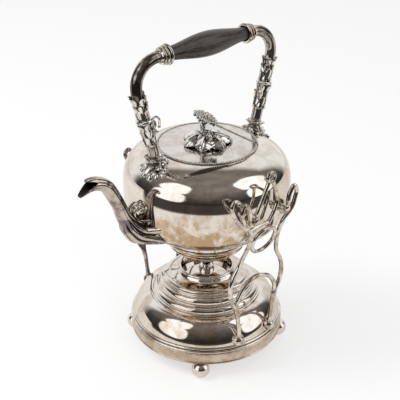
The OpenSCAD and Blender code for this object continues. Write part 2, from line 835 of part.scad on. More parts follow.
module lid_rope_border() {
    color("silver") difference() {
        translate([0, 0, lid_gap]) rope_ring();
        behind_hinge(hinge_x - rope_r - near_gap);
    }
}

module lid_rim_flange() {
    color("silver") difference() {
        translate([0, 0, seat_z + lid_gap - rim_flange_h])
            tube(mouth_r - rim_flange_gap, mouth_r - rim_flange_gap - 1, rim_flange_h);
        behind_hinge(hinge_x - barrel_d - rim_flange_h);
    }
}

// Finial: a rosette of drooping leaves under a trumpet flower, held by a nut inside the lid

leaf_count = 7;

module finial_leaves() {
    outline = concat([[rosette_r, lid_top], [rosette_r - 1.5, lid_top + 3]],
        [for (i = [1 : 6]) let(a = 15 * i)
            [4 + (rosette_r - 5.5) * (1 - sin(a)), lid_top + 3 + (rosette_h - 3) * (1 - cos(a))]]);
    star = [for (i = [0 : 8 * leaf_count - 1]) let(
            a = 360 * i / (8 * leaf_count),
            r = rosette_r * (0.72 + 0.28 * abs(cos(leaf_count * a / 2))))
        r * [cos(a), sin(a)]];
    color("gray") difference() {
        intersection() {
            revolve(concat([[0, lid_top]], outline, [[0, lid_top + rosette_h]]));
            translate([0, 0, lid_top - 1]) linear_extrude(rosette_h + 2) polygon(star);
        }
        translate([0, 0, lid_top - 1]) cylinder(r = finial_stud_r + solder_gap, h = rosette_h + 2, $fn = 32);
    }
}

module finial_flower() {
    stud_z = seat_z - 4;
    color("gray") {
        translate([0, 0, stud_z])
            cylinder(r = finial_stud_r, h = lid_top + rosette_h + 0.5 - stud_z, $fn = 32);
        translate([0, 0, lid_top + rosette_h + solder_gap]) {
            cylinder(r1 = 3.6, r2 = 2.6, h = 2);
            rotate([0, -stem_lean, flower_side]) cylinder(r = 2, h = stem_l, $fn = 32);
            rotate([0, -stem_lean, flower_side]) translate([0, 0, stem_l]) sphere(r = 2.2, $fn = 32);
            rotate([0, -stem_lean, flower_side]) translate([0, 0, stem_l - 1])
                rotate([0, stem_lean + flower_tilt, 0]) revolve(concat(
                [[0, 0], [2, 0]],
                [for (i = [1 : 6]) let(s = i / 6)
                    [2 + (flower_d / 2 - 2) * s * s, 0.6 * flower_h * s]],
                [[flower_d / 2 - 1.5, 0.7 * flower_h], [0, 0.72 * flower_h]]));
        }
    }
}

module finial_nut() {
    color("silver") translate([0, 0, seat_z - 2.6]) difference() {
        cylinder(r = 4.6, h = 2.6, $fn = 6);
        translate([0, 0, -1]) cylinder(r = finial_stud_r + solder_gap, h = 5, $fn = 32);
    }
}

// Handle

// Carries a shape to one end of the handle: s is -1 for the spout's end and 1 for the other
module handle_end(s) {
    mirror([s < 0 ? 1 : 0, 0, 0]) children();
}

// Carries a shape that stands on the arm's foot to its place, with +Z along the arm
module on_arm(l) {
    translate([mount_x, 0, arm_foot_z]) rotate([0, arm_lean, 0]) translate([0, 0, l]) children();
}

module handle_mount(s) {
    difference() {
        handle_end(s) union() {
            translate([mount_x + 3, 0, shoulder_z(mount_x) - mount_sink]) sphere(r = mount_r);
            on_arm(-mount_stub_l) cylinder(r = arm_r + 1, h = mount_stub_l - collar_ring_r);
        }
        kettle_core();
    }
}

module front_handle_mount() {
    color("gray") handle_mount(-1);
}

module rear_handle_mount() {
    color("gray") handle_mount(1);
}

module handle_collar() {
    on_arm(-collar_ring_r + solder_gap) union() {
        translate([0, 0, collar_ring_r]) ring(arm_r, collar_ring_r);
        cylinder(r = arm_r, h = 2 * collar_ring_r);
    }
}

module front_handle_collar() {
    color("silver") handle_end(-1) handle_collar();
}

module rear_handle_collar() {
    color("silver") handle_end(1) handle_collar();
}

// A bent tube from the ferrule, and on straight down to the collar on the mount
module handle_arm() {
    translate([bend_x, 0, bend_z]) rotate([90, 0, 0]) rotate(-arm_lean) {
        rotate_extrude(angle = 90 + arm_lean) translate([bend_r, 0]) difference() {
            circle(r = arm_r, $fn = 48);
            circle(r = arm_r - arm_wall, $fn = 48);
        }
        translate([bend_r, 0, 0]) rotate([90, 0, 0])
            tube(arm_r, arm_r - arm_wall, arm_l - collar_ring_r - 2 * solder_gap);
    }
}

module front_handle_arm() {
    color("silver") handle_end(-1) handle_arm();
}

module rear_handle_arm() {
    color("silver") handle_end(1) handle_arm();
}

// Two turned and lobed sleeves with a ring between them, soldered over the straight of an arm
module foliage_sleeves() {
    bulge = sleeve_d / 2;
    low = arm_l - 2 * sleeve_l - 3;
    difference() {
        on_arm(low) union() {
            for (z = [0, sleeve_l + 3]) translate([0, 0, z]) {
                revolve([
                    [0, 0], [bulge - 2.4, 0], [bulge - 1, 0.12 * sleeve_l], [bulge - 1.6, 0.3 * sleeve_l],
                    [bulge - 0.4, 0.5 * sleeve_l], [bulge, 0.7 * sleeve_l], [bulge - 1.2, 0.9 * sleeve_l],
                    [bulge - 1, sleeve_l], [0, sleeve_l]]);
            }
            translate([0, 0, sleeve_l + 1.5]) ring(bulge - 2.4, 1.6);
            translate([0, 0, sleeve_l]) cylinder(r = bulge - 2.4, h = 3);
        }
        on_arm(-1) cylinder(r = arm_r + solder_gap, h = arm_l + 4);
    }
}

module front_foliage_sleeves() {
    color("gray") handle_end(-1) foliage_sleeves();
}

module rear_foliage_sleeves() {
    color("gray") handle_end(1) foliage_sleeves();
}

module ferrule() {
    rings = [[0, 2.2], [3.6, 1.9], [7, 1.6]];
    translate([grip_half + solder_gap, 0, grip_z]) rotate([0, 90, 0]) difference() {
        union() {
            cylinder(r = arm_r + 1.4, h = ferrule_l - 2 * solder_gap);
            cylinder(r = arm_r - arm_wall - near_gap, h = ferrule_l + ferrule_spigot_l);
            cylinder(r = grip_end_d / 2 + 1.2, h = 0.75 * ferrule_l);
            for (one = rings) translate([0, 0, one[1] + one[0]]) ring(grip_end_d / 2 + 1.3, one[1]);
        }
        translate([0, 0, -1]) cylinder(r = grip_rod_r + solder_gap, h = ferrule_l);
    }
}

module front_ferrule() {
    color("silver") handle_end(-1) ferrule();
}

module rear_ferrule() {
    color("silver") handle_end(1) ferrule();
}

module handle_grip() {
    end_r = grip_end_d / 2;
    swell = (grip_mid_d - grip_end_d) / 2;
    profile = [for (i = [0 : 24]) let(x = i / 24)
        [end_r + swell * pow(sin(180 * x), 1.7), x * grip_l]];
    color("#2b2724") translate([-grip_half, 0, grip_z]) rotate([0, 90, 0]) difference() {
        revolve(concat([[0, 0]], profile, [[0, grip_l]]));
        translate([0, 0, -1]) cylinder(r = grip_rod_r + pin_fit, h = grip_l + 2);
    }
}

module grip_rod() {
    half = grip_half + ferrule_l - 1.5;
    color("dimgray") translate([-half, 0, grip_z]) rotate([0, 90, 0])
        cylinder(r = grip_rod_r, h = 2 * half);
}

base_dome();
base_band();
step_wires();
ball_feet();
burner_well();
bracket_pads();
left_bracket();
right_bracket();
waist_rings();
front_cradles();
rear_cradles();
burner_font();
burner_screw_socket();
wick_collar();
wick_tube();
wick();
kettle_body();
kettle_foot_ring();
neck_flange();
pin_bosses();
pivot_pins();
cradle_pins();
spout();
fixed_lid_segment();
fixed_rope_border();
body_hinge_knuckles();
hinge_pin();
lid_plate();
lid_rope_border();
lid_rim_flange();
lid_hinge_knuckles();
finial_leaves();
finial_flower();
finial_nut();
front_handle_mount();
rear_handle_mount();
front_handle_collar();
rear_handle_collar();
front_handle_arm();
rear_handle_arm();
front_foliage_sleeves();
rear_foliage_sleeves();
front_ferrule();
rear_ferrule();
handle_grip();
grip_rod();
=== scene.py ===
# %% [markdown]
# # A silver spirit kettle, dressed over its working frame
# The real object is spun, cast and soldered silver plate: a squat kettle with a swan-neck spout hangs
# on four pins between two cast wire brackets, over a spirit burner in a domed base on ball feet.
# The frame gives every solid at its real size. This lesson gives each one its true finish, and makes
# again, with smooth turned and swept meshes, whatever a polished surface would show as facets.

# %% Load the frame
import json
import math

import bmesh
import bpy
import numpy as np
from mathutils import Matrix, Vector

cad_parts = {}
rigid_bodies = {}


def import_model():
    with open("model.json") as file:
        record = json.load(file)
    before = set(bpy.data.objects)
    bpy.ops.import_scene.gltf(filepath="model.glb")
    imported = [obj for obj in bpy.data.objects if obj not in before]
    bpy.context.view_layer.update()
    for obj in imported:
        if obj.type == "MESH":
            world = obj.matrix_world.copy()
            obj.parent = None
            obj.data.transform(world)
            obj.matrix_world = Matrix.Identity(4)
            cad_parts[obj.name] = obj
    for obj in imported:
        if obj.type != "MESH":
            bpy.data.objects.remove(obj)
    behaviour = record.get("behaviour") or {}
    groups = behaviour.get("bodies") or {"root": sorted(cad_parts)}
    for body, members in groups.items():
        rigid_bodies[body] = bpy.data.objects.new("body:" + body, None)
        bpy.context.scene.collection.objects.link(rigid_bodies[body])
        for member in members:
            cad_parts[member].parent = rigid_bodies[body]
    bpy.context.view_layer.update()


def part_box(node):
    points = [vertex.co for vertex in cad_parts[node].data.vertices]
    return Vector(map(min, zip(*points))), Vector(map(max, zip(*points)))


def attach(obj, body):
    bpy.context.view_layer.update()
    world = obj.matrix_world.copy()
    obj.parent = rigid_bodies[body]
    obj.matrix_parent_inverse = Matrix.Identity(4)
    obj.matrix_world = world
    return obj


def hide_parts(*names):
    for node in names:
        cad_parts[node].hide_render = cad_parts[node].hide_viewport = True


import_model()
MM = 0.001

# %% [markdown]
# ## The camera
# A long lens from a little above, at the left of the spout. The camera comes first.

# %% The camera
LENS_MM, SENSOR_MM = 77.64, 36
CAMERA_PLACE, CAMERA_TARGET = (-0.5381, -0.6188, 0.6147), (-0.0055, 0.0047, 0.1725)


def new_object(name, data):
    """An object at the origin that shows a mesh, a camera or a lamp."""
    made = bpy.data.objects.new(name, data)
    bpy.context.collection.objects.link(made)
    return made


def aim(thing, place, target):
    """Puts a camera or a lamp in its place and turns it to its target."""
    thing.location = place
    thing.rotation_euler = (Vector(target) - Vector(place)).to_track_quat("-Z", "Y").to_euler()


camera = new_object("camera", bpy.data.cameras.new("camera"))
camera.data.lens, camera.data.sensor_width = LENS_MM, SENSOR_MM
aim(camera, CAMERA_PLACE, CAMERA_TARGET)
bpy.context.scene.camera = camera
bpy.context.scene.view_settings.view_transform = "Standard"
print("lens", LENS_MM, "mm from", CAMERA_PLACE)

# %% [markdown]
# ## Sizes from the frame
# Each node's box gives its radius and its levels, so a piece made here always lands on its solid.


# %% Sizes from the frame
def low(node):
    """A node's lowest corner, in millimetres, as every length here is until a mesh is made."""
    return Vector(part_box(node)[0]) / MM


def high(node):
    return Vector(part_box(node)[1]) / MM


def radius(node):
    """Half of a turned node's width across the kettle, where nothing stands out of it."""
    return (high(node).y - low(node).y) / 2


def round_off(share, power):
    """How far a full rounded side has come in at a share of its height."""
    return (1 - share**power) ** (1 / power)


SHEET, WIRE, BALL_R = 1.2, 1.4, 9.75
DOME_RISE, TIERS_RISE, COLLAR_RISE, WELL_RISE = 24.6, 15.4, 7, 7
SHOULDER_POWER, BELLY_POWER = 3.0, 3.3
base_r, band_z, band_top = radius("base_band"), low("base_band").z, high("base_band").z
skirt_r = base_r - 2 * WIRE - 1.6
dome_z, tier_r = band_top + 6, 60.0
tier_z = dome_z + DOME_RISE
collar_z = tier_z + TIERS_RISE + COLLAR_RISE
well_r = radius("burner_font") + 0.5
well_rim_z = collar_z + WELL_RISE
body_z = (low("pin_bosses").z + high("pin_bosses").z) / 2
seat_z, body_r, seat_r = high("kettle_body").z, 89.0, 53.5
belly_h = body_z - low("kettle_body").z
shoulder_full = (seat_z - body_z) / round_off(seat_r / body_r, SHOULDER_POWER)
lid_top, plate_r = high("lid_plate").z, radius("lid_plate")
print("body", 2 * body_r, "mm wide, lid top", round(lid_top, 1), "mm, dome to", round(collar_z, 1))

# %% [markdown]
# ## Turned and swept meshes
# Spinning and turning give a profile carried round an axis, drawn wire gives a circle carried along a
# path. One function for each makes nearly all of the kettle. Both write plain closed meshes in the
# object's own place. Cast relief is a mesh too, and its points also remember how deep they lie.


# %% Curves and profiles
def smooth(points, steps=6):
    """A smooth curve through points: rows of any length, joined by Catmull-Rom pieces."""
    p = np.array(points, float)
    ends = np.vstack([2 * p[0] - p[1], p, 2 * p[-1] - p[-2]])
    out = []
    for a, b, c, d in zip(ends, ends[1:], ends[2:], ends[3:]):
        for t in np.arange(steps) / steps:
            out.append(0.5 * (2 * b + (c - a) * t + (2 * a - 5 * b + 4 * c - d) * t**2
                              + (3 * b - a - 3 * c + d) * t**3))
    return np.vstack(out + [p[-1]])


def arc(start, end, steps=12):
    """A quarter ellipse in a profile, from a point where it runs upright to one where it is level."""
    (r0, z0), (r1, z1) = start, end
    return [(r1 + (r0 - r1) * math.cos(a), z0 + (z1 - z0) * math.sin(a))
            for a in np.linspace(0, math.pi / 2, steps + 1)]


def bead(r, z, size, from_deg, to_deg, steps=10):
    """A round moulding in a profile: part of a circle of a given radius about (r, z)."""
    angles = np.radians(np.linspace(from_deg, to_deg, steps + 1))
    return [(r + size * math.cos(a), z + size * math.sin(a)) for a in angles]


def round_angles(steps):
    return np.arange(steps) * 2 * math.pi / steps


# %% Points into pieces
def grid_faces(rows, columns, loop=False):
    """Quads over rows of points, the columns closed into rings and the rows into a loop."""
    faces = []
    for i in range(rows if loop else rows - 1):
        for j in range(columns):
            here, above, beside = i * columns, (i + 1) % rows * columns, (j + 1) % columns
            faces.append((here + j, here + beside, above + beside, above + j))
    return faces


def capped_faces(rows, columns):
    """The same for a tube that is closed by a flat face at both ends."""
    last = (rows - 1) * columns
    return grid_faces(rows, columns) + [
        tuple(range(columns)), tuple(last + i for i in reversed(range(columns)))]


def set_hollow(piece, values):
    """Writes how deep each point lies in the relief, for the oxide and the painted shade."""
    kept = piece.data.attributes
    layer = kept.get("hollow") or kept.new("hollow", "FLOAT", "POINT")
    values = np.clip(np.asarray(values, np.float32), 0, 1)
    values = np.broadcast_to(values, len(piece.data.vertices))
    layer.data.foreach_set("value", np.ascontiguousarray(values))
    return piece


def make_piece(name, points, faces, sharp_deg=38, depths=None):
    """A new object from points in millimetres and faces: welded, facing out, smooth but for edges.

    A piece with depths is cast relief, which has no sharp edges and keeps its thinnest faces.
    """
    mesh = bpy.data.meshes.new(name)
    mesh.from_pydata((np.array(points, float) * MM).tolist(), [], faces)
    piece = bpy.data.objects.new(name, mesh)
    if depths is not None:
        set_hollow(piece, depths)
    work = bmesh.new()
    work.from_mesh(mesh)
    bmesh.ops.remove_doubles(work, verts=work.verts, dist=1e-7)
    if depths is None:
        bmesh.ops.dissolve_degenerate(work, dist=1e-8, edges=work.edges)
    bmesh.ops.recalc_face_normals(work, faces=work.faces)
    work.to_mesh(mesh)
    work.free()
    for face in mesh.polygons:
        face.use_smooth = True
    if depths is None:
        mesh.set_sharp_from_angle(angle=math.radians(sharp_deg))
    bpy.context.collection.objects.link(piece)
    return piece


def gathered(name, parts, shift=None):
    """One relief from many parts, (points, faces, depths) each, after a last move of the points."""
    points, faces, start = np.vstack([part[0] for part in parts]), [], 0
    for part in parts:
        faces += [tuple(i + start for i in face) for face in part[1]]
        start += len(part[0])
    depths = np.concatenate([part[2] for part in parts])
    return make_piece(name, shift(points) if shift else points, faces, depths=depths)


def placed(points, turn):
    """Points carried by a matrix."""
    return points @ np.array(turn.to_3x3()).T + np.array(turn.translation)


def move(piece, turn):
    """A finished piece carried by a matrix in millimetres."""
    piece.data.transform(Matrix.Scale(MM, 4) @ turn @ Matrix.Scale(1 / MM, 4))


# %% Turned and drawn pieces
def turned(name, profile, turn=None, steps=160, sharp_deg=38):
    """A closed profile of (radius, height) carried round Z, then put in place by a matrix."""
    p, angles = np.array(profile, float), round_angles(steps)
    points = np.stack([np.outer(p[:, 0], np.cos(angles)), np.outer(p[:, 0], np.sin(angles)),
                       np.repeat(p[:, 1:2], steps, axis=1)], axis=2).reshape(-1, 3)
    points = points if turn is None else placed(points, turn)
    return make_piece(name, points, grid_faces(len(p), steps, loop=True), sharp_deg)


def sides_along(path, loop):
    """Two directions across a path, carried from point to point without twisting."""
    if loop:
        along = np.roll(path, -1, axis=0) - np.roll(path, 1, axis=0)
    else:
        along = np.gradient(path, axis=0)
    along /= np.linalg.norm(along, axis=1)[:, None]
    side = np.cross(along[0], (0, 0, 1) if abs(along[0][2]) < 0.9 else (0, 1, 0))
    sides = []
    for t in along:
        side = side - t * side.dot(t)
        side = side / np.linalg.norm(side)
        sides.append(side)
    return np.array(sides), np.cross(along, sides)


def drawn(name, path, size, sides=16, loop=False, sharp_deg=50):
    """A round wire along a path, its radius one number or one for each point, with round ends."""
    p = np.array(path, float)
    radii = np.broadcast_to(np.asarray(size, float), (len(p),)).copy()
    if not loop:
        caps = np.radians([8, 30, 60])
        t0, t1 = p[0] - p[1], p[-1] - p[-2]
        t0, t1 = t0 / np.linalg.norm(t0), t1 / np.linalg.norm(t1)
        first = [p[0] + t0 * radii[0] * 0.6 * math.cos(a) for a in caps]
        last = [p[-1] + t1 * radii[-1] * 0.6 * math.cos(a) for a in caps]
        radii = np.concatenate([radii[0] * np.sin(caps), radii, radii[-1] * np.sin(caps[::-1])])
        p = np.vstack([first, p, last[::-1]])
    u, v = sides_along(p, loop)
    cos, sin = np.cos(round_angles(sides)), np.sin(round_angles(sides))
    across = u[:, None] * cos[None, :, None] + v[:, None] * sin[None, :, None]
    rings = p[:, None] + radii[:, None, None] * across
    faces = grid_faces(len(p), sides, loop=True) if loop else capped_faces(len(p), sides)
    return make_piece(name, rings.reshape(-1, 3), faces, sharp_deg)


# %% Joining, mirroring and handing over
def joined(name, pieces):
    """Several new pieces as one object."""
    mesh = bpy.data.meshes.new(name)
    work = bmesh.new()
    for piece in pieces:
        old = piece.data
        work.from_mesh(old)
        bpy.data.objects.remove(piece)
        bpy.data.meshes.remove(old)
    work.to_mesh(mesh)
    work.free()
    return new_object(name, mesh)


def mirrored(name, piece, axis):
    """A copy on the other side of the middle, with its faces turned back outwards."""
    mesh = piece.data.copy()
    work = bmesh.new()
    work.from_mesh(mesh)
    for v in work.verts:
        v.co[axis] *= -1
    bmesh.ops.reverse_faces(work, faces=work.faces)
    work.to_mesh(mesh)
    work.free()
    return new_object(name, mesh)


def finish_piece(piece, body, finish, *nodes):
    """Gives a piece its body and its material, and hides the solids that it stands for."""
    piece.data.materials.clear()
    piece.data.materials.append(FINISHES[finish])
    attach(piece, body)
    if nodes:
        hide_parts(*nodes)


# %% [markdown]
# ## Finishes
# Polished plate is a plain metal whose colour drifts from cold to warm where it has tarnished, with
# faint scratches from years of rubbing. Cast work is the same metal with dark oxide left in its
# hollows, darkened there further by painted shade. Each shared effect is a node group with named
# sockets, so every metal can use it with its own values. The shader itself stays in the material.


# %% Node helpers
COLOR, NUMBER, WHOLE = "NodeSocketColor", "NodeSocketFloat", "NodeSocketInt"


def wired(tree, kind, inputs=None, **settings):
    """A node with its properties set, and its inputs fed by sockets or set to values."""
    node = tree.nodes.new(kind)
    for key, value in settings.items():
        setattr(node, key, value)
    for key, value in (inputs or {}).items():
        if isinstance(value, bpy.types.NodeSocket):
            tree.links.new(value, node.inputs[key])
        else:
            node.inputs[key].default_value = value
    return node


def figured(tree, operation, *values):
    """A Math node over sockets and numbers."""
    return wired(tree, "ShaderNodeMath", dict(enumerate(values)), operation=operation).outputs[0]


def mixed(tree, factor, a, b):
    """A colour mix; each of factor, a and b is a socket or a value."""
    return wired(tree, "ShaderNodeMix", {0: factor, 6: a, 7: b}, data_type="RGBA").outputs[2]


def ramped(tree, value, low_edge, high_edge):
    """A value carried from 0 to 1 between two edges, softly."""
    edges = {"Value": value, "From Min": low_edge, "From Max": high_edge}
    return wired(tree, "ShaderNodeMapRange", edges, interpolation_type="SMOOTHSTEP").outputs["Result"]


def object_place(tree):
    return tree.nodes.new("ShaderNodeTexCoord").outputs["Object"]


def stretched(tree, place, scale, rotation=(0, 0, 0)):
    values = {"Vector": place, "Scale": scale, "Rotation": rotation}
    return wired(tree, "ShaderNodeMapping", values).outputs[0]


def noise(tree, place, scale, detail, roughness=0.5, distortion=0.0):
    return wired(tree, "ShaderNodeTexNoise", {
        "Vector": place, "Scale": scale, "Detail": detail, "Roughness": roughness,
        "Distortion": distortion}).outputs["Fac"]


def make_group(name, kind, inputs, outputs):
    """A node group, the sockets that its inputs come from, and those that its results go to."""
    group = bpy.data.node_groups.new(name, kind)
    for socket, socket_kind in outputs:
        group.interface.new_socket(socket, in_out="OUTPUT", socket_type=socket_kind)
    for socket, socket_kind, value in inputs:
        made = group.interface.new_socket(socket, in_out="INPUT", socket_type=socket_kind)
        made.default_value = value
    given, results = group.nodes.new("NodeGroupInput"), group.nodes.new("NodeGroupOutput")
    return group, given.outputs, results.inputs


# %% [markdown]
# ### Tarnish
# Silver goes warm and dull in clouds that run down its sides, with fine speckle inside them. Three
# noises make the clouds, the runs and the speckle. A fourth, drawn out along one direction, makes the
# fine scratches, and a slow fifth one the shallow dents of hand work.

# %% The tarnish group
tarnish, given, results = make_group(
    "tarnish", "ShaderNodeTree",
    [("Clean", COLOR, (0.8, 0.77, 0.72, 1)), ("Dull", COLOR, (0.6, 0.5, 0.4, 1)),
     ("Amount", NUMBER, 0.5), ("Cloud Scale", NUMBER, 20), ("Polish", NUMBER, 0.1)],
    [("Color", COLOR), ("Roughness", NUMBER), ("Height", NUMBER)])
place = object_place(tarnish)
clouds = ramped(tarnish, noise(tarnish, place, given["Cloud Scale"], 6, 0.66, 0.6), 0.44, 0.60)
runs = ramped(tarnish, noise(tarnish, stretched(tarnish, place, (95, 95, 26)), 1, 4, 0.7), 0.47, 0.66)
speckle = ramped(tarnish, noise(tarnish, place, 620, 2), 0.50, 0.70)
worn = figured(tarnish, "ADD", clouds, figured(
    tarnish, "ADD", figured(tarnish, "MULTIPLY", runs, 0.55),
    figured(tarnish, "MULTIPLY", speckle, 0.30)))
dull_mask = figured(tarnish, "MINIMUM", figured(tarnish, "MULTIPLY", given["Amount"], worn), 1.0)
rubbed = stretched(tarnish, place, (260, 2600, 1500), (0.3, 0.5, 0.7))
scratches = ramped(tarnish, noise(tarnish, rubbed, 1, 1), 0.56, 0.7)
rough = figured(tarnish, "ADD", given["Polish"], figured(
    tarnish, "ADD", figured(tarnish, "MULTIPLY", dull_mask, 0.06),
    figured(tarnish, "MULTIPLY", scratches, 0.05)))
height = figured(tarnish, "SUBTRACT", noise(tarnish, place, 34, 1),
                 figured(tarnish, "MULTIPLY", scratches, 0.02))
tarnish.links.new(mixed(tarnish, dull_mask, given["Clean"], given["Dull"]), results["Color"])
tarnish.links.new(rough, results["Roughness"])
tarnish.links.new(height, results["Height"])
print("tarnish group:", len(tarnish.nodes), "nodes")

# %% [markdown]
# ### Oxide and painted shade in the hollows
# Every cast piece carries an attribute named hollow: 1 at the bottom of its relief and 0 on top. The
# group turns it into a mask of dark oxide and painted shade with a broken edge, because oxide never
# stops at a clean line.

# %% The hollow group
hollow, given, results = make_group(
    "hollow oxide and shade", "ShaderNodeTree",
    [("Metal", COLOR, (0.7, 0.68, 0.63, 1)), ("Oxide and Shade", COLOR, (0.05, 0.045, 0.04, 1)),
     ("Roughness", NUMBER, 0.2), ("Reach", NUMBER, 0.5)],
    [("Color", COLOR), ("Roughness", NUMBER)])
depth = wired(hollow, "ShaderNodeAttribute", attribute_name="hollow").outputs["Fac"]
grit = figured(hollow, "MULTIPLY_ADD", noise(hollow, object_place(hollow), 700, 3), 0.5, -0.25)
# The mask paints the hollows dark: oxide, with painted shade in the recesses.
oxide_and_shade_mask = ramped(hollow, figured(
    hollow, "ADD", figured(hollow, "ADD", depth, grit),
    figured(hollow, "SUBTRACT", given["Reach"], 0.5)), 0.42, 0.8)
rough = figured(hollow, "ADD", given["Roughness"], figured(hollow, "MULTIPLY", oxide_and_shade_mask, 0.4))
hollow.links.new(mixed(hollow, oxide_and_shade_mask, given["Metal"], given["Oxide and Shade"]), results["Color"])
hollow.links.new(rough, results["Roughness"])
print("hollow group:", len(hollow.nodes), "nodes")


# %% The materials
def new_material(name, metallic):
    material = bpy.data.materials.new(name)
    material.use_nodes = True
    shader = material.node_tree.nodes["Principled BSDF"]
    shader.inputs["Metallic"].default_value = metallic
    return material, material.node_tree, shader.inputs


def feed(tree, shader, color, roughness, height, bump, deep):
    """Leads a colour, a roughness and a relief to a shader."""
    relief = wired(tree, "ShaderNodeBump", {"Strength": bump, "Distance": deep, "Height": height})
    tree.links.new(color, shader["Base Color"])
    tree.links.new(roughness, shader["Roughness"])
    tree.links.new(relief.outputs["Normal"], shader["Normal"])


def silver(name, clean, dull, amount, cloud_scale, polish, bump=0.25, oxide_and_shade=None):
    """Plated metal: tarnish clouds and, on cast work, oxide in the hollows."""
    material, tree, shader = new_material(name, 1.0)
    skin = wired(tree, "ShaderNodeGroup", {
        "Clean": clean + (1,), "Dull": dull + (1,), "Amount": amount, "Cloud Scale": cloud_scale,
        "Polish": polish}, node_tree=tarnish).outputs
    color, roughness = skin["Color"], skin["Roughness"]
    # On cast work the hollow mask darkens the colour with oxide and painted shade.
    if oxide_and_shade is not None:
        dark = wired(tree, "ShaderNodeGroup", {"Metal": color, "Roughness": roughness, "Reach": oxide_and_shade},
                     node_tree=hollow).outputs
        color, roughness = dark["Color"], dark["Roughness"]
    feed(tree, shader, color, roughness, skin["Height"], bump, 0.0006)
    return material


def grained(name, color, grain_color, roughness, grain_scale, grain_stretch, bump, metallic=0.0):
    """A dull material with a drawn-out grain: wood, cotton, steel rod."""
    material, tree, shader = new_material(name, metallic)
    grain = noise(tree, stretched(tree, object_place(tree), grain_stretch), grain_scale, 5)
    mask = ramped(tree, grain, 0.35, 0.65)
    feed(tree, shader, mixed(tree, mask, color + (1,), grain_color + (1,)),
         figured(tree, "MULTIPLY_ADD", mask, 0.12, roughness), grain, bump, 0.0003)
    return material


# %% The finishes
# Clean and tarnished colour, amount, cloud scale, polish, relief, and how far the oxide and painted
# shade reach.
METALS = {
    "kettle plate": ((0.80, 0.77, 0.73), (0.50, 0.35, 0.21), 0.8, 46, 0.03),
    "base plate": ((0.80, 0.76, 0.72), (0.50, 0.38, 0.28), 0.5, 30, 0.025, 0.16),
    "lid plate": ((0.74, 0.71, 0.68), (0.54, 0.46, 0.39), 0.6, 34, 0.09, 0.3),
    "spout plate": ((0.62, 0.55, 0.48), (0.22, 0.18, 0.20), 0.95, 50, 0.03, 0.2, 0.45),
    "arm plate": ((0.55, 0.51, 0.48), (0.15, 0.125, 0.11), 0.9, 30, 0.06, 0.25),
    # The bright wire's tarnished colour is dark: real tarnish, darkened further as a painted dark
    # reflection.
    "bright wire": ((0.80, 0.76, 0.70), (0.24, 0.17, 0.11), 0.6, 80, 0.02, 0.3),
    "satin silver": ((0.80, 0.77, 0.73), (0.50, 0.42, 0.34), 0.5, 120, 0.34, 0.3),
    "cast silver": ((0.84, 0.82, 0.79), (0.50, 0.45, 0.40), 0.45, 90, 0.04, 0.35, 0.36),
    "worn band": ((0.66, 0.57, 0.48), (0.50, 0.38, 0.28), 0.75, 60, 0.26, 0.5),
}
# Colour, grain's colour, roughness, grain's scale and stretch, relief, and metal or not.
GRAINS = {
    "ebony": ((0.014, 0.012, 0.011), (0.050, 0.040, 0.034), 0.24, 60, (1, 12, 12), 0.25),
    "steel": ((0.42, 0.41, 0.39), (0.30, 0.29, 0.27), 0.35, 90, (1, 20, 20), 0.2, 1.0),
    "cotton": ((0.62, 0.57, 0.48), (0.30, 0.26, 0.21), 0.9, 500, (3, 3, 1), 0.9),
}
FINISHES = {name: silver(name, *values) for name, values in METALS.items()}
FINISHES.update({name: grained(name, *values) for name, values in GRAINS.items()})
SLOTS = dict.fromkeys(FINISHES, "silver_plate")
SLOTS.update({"cast silver": "cast_silver", "worn band": "worn_band"}, **{name: name for name in GRAINS})

# The kettle's tarnish is heaviest low on its body and fades upwards towards the shoulder.
kettle_tree = FINISHES["kettle plate"].node_tree
level = wired(kettle_tree, "ShaderNodeSeparateXYZ", {0: object_place(kettle_tree)}).outputs["Z"]
fading = figured(kettle_tree, "MULTIPLY_ADD", ramped(kettle_tree, level, 0.165, 0.215), -0.58, 0.9)
tarnish_node = next(node for node in kettle_tree.nodes if node.type == "GROUP")
kettle_tree.links.new(fading, tarnish_node.inputs["Amount"])
print("finishes:", ", ".join(FINISHES))

# %% [markdown]
# ## The domed base
# The base was spun from sheet: a wide dome with a rounded edge, three broad hollow tiers with thin
# beads between them, and a concave neck up to the burner well. A profile carried round the axis is
# exactly what spinning does. The sheet is closed underneath by the same profile moved inwards.

# %% The domed base
dome_foot, dome_run = tier_r + 22.6, 21.4
arch_start = math.radians(24)
arch_rise = (tier_z - dome_z) / (1 - math.sin(arch_start))


def sheet_of(outline):
    """A closed profile: an outline from the outside in, and back again under the sheet."""
    floor_z, edge = outline[0][1], outline[-1][0]
    return outline + [(max(r - SHEET, edge), max(z - SHEET, floor_z)) for r, z in reversed(outline)]


def dome_height(r):
    """The big dome's height at a radius from the axis."""
    share = np.clip((np.asarray(r, float) - dome_foot + dome_run) / dome_run, 0, 1)
    return dome_z + arch_rise * (np.sqrt(1 - (share * math.cos(arch_start))**2) - math.sin(arch_start))


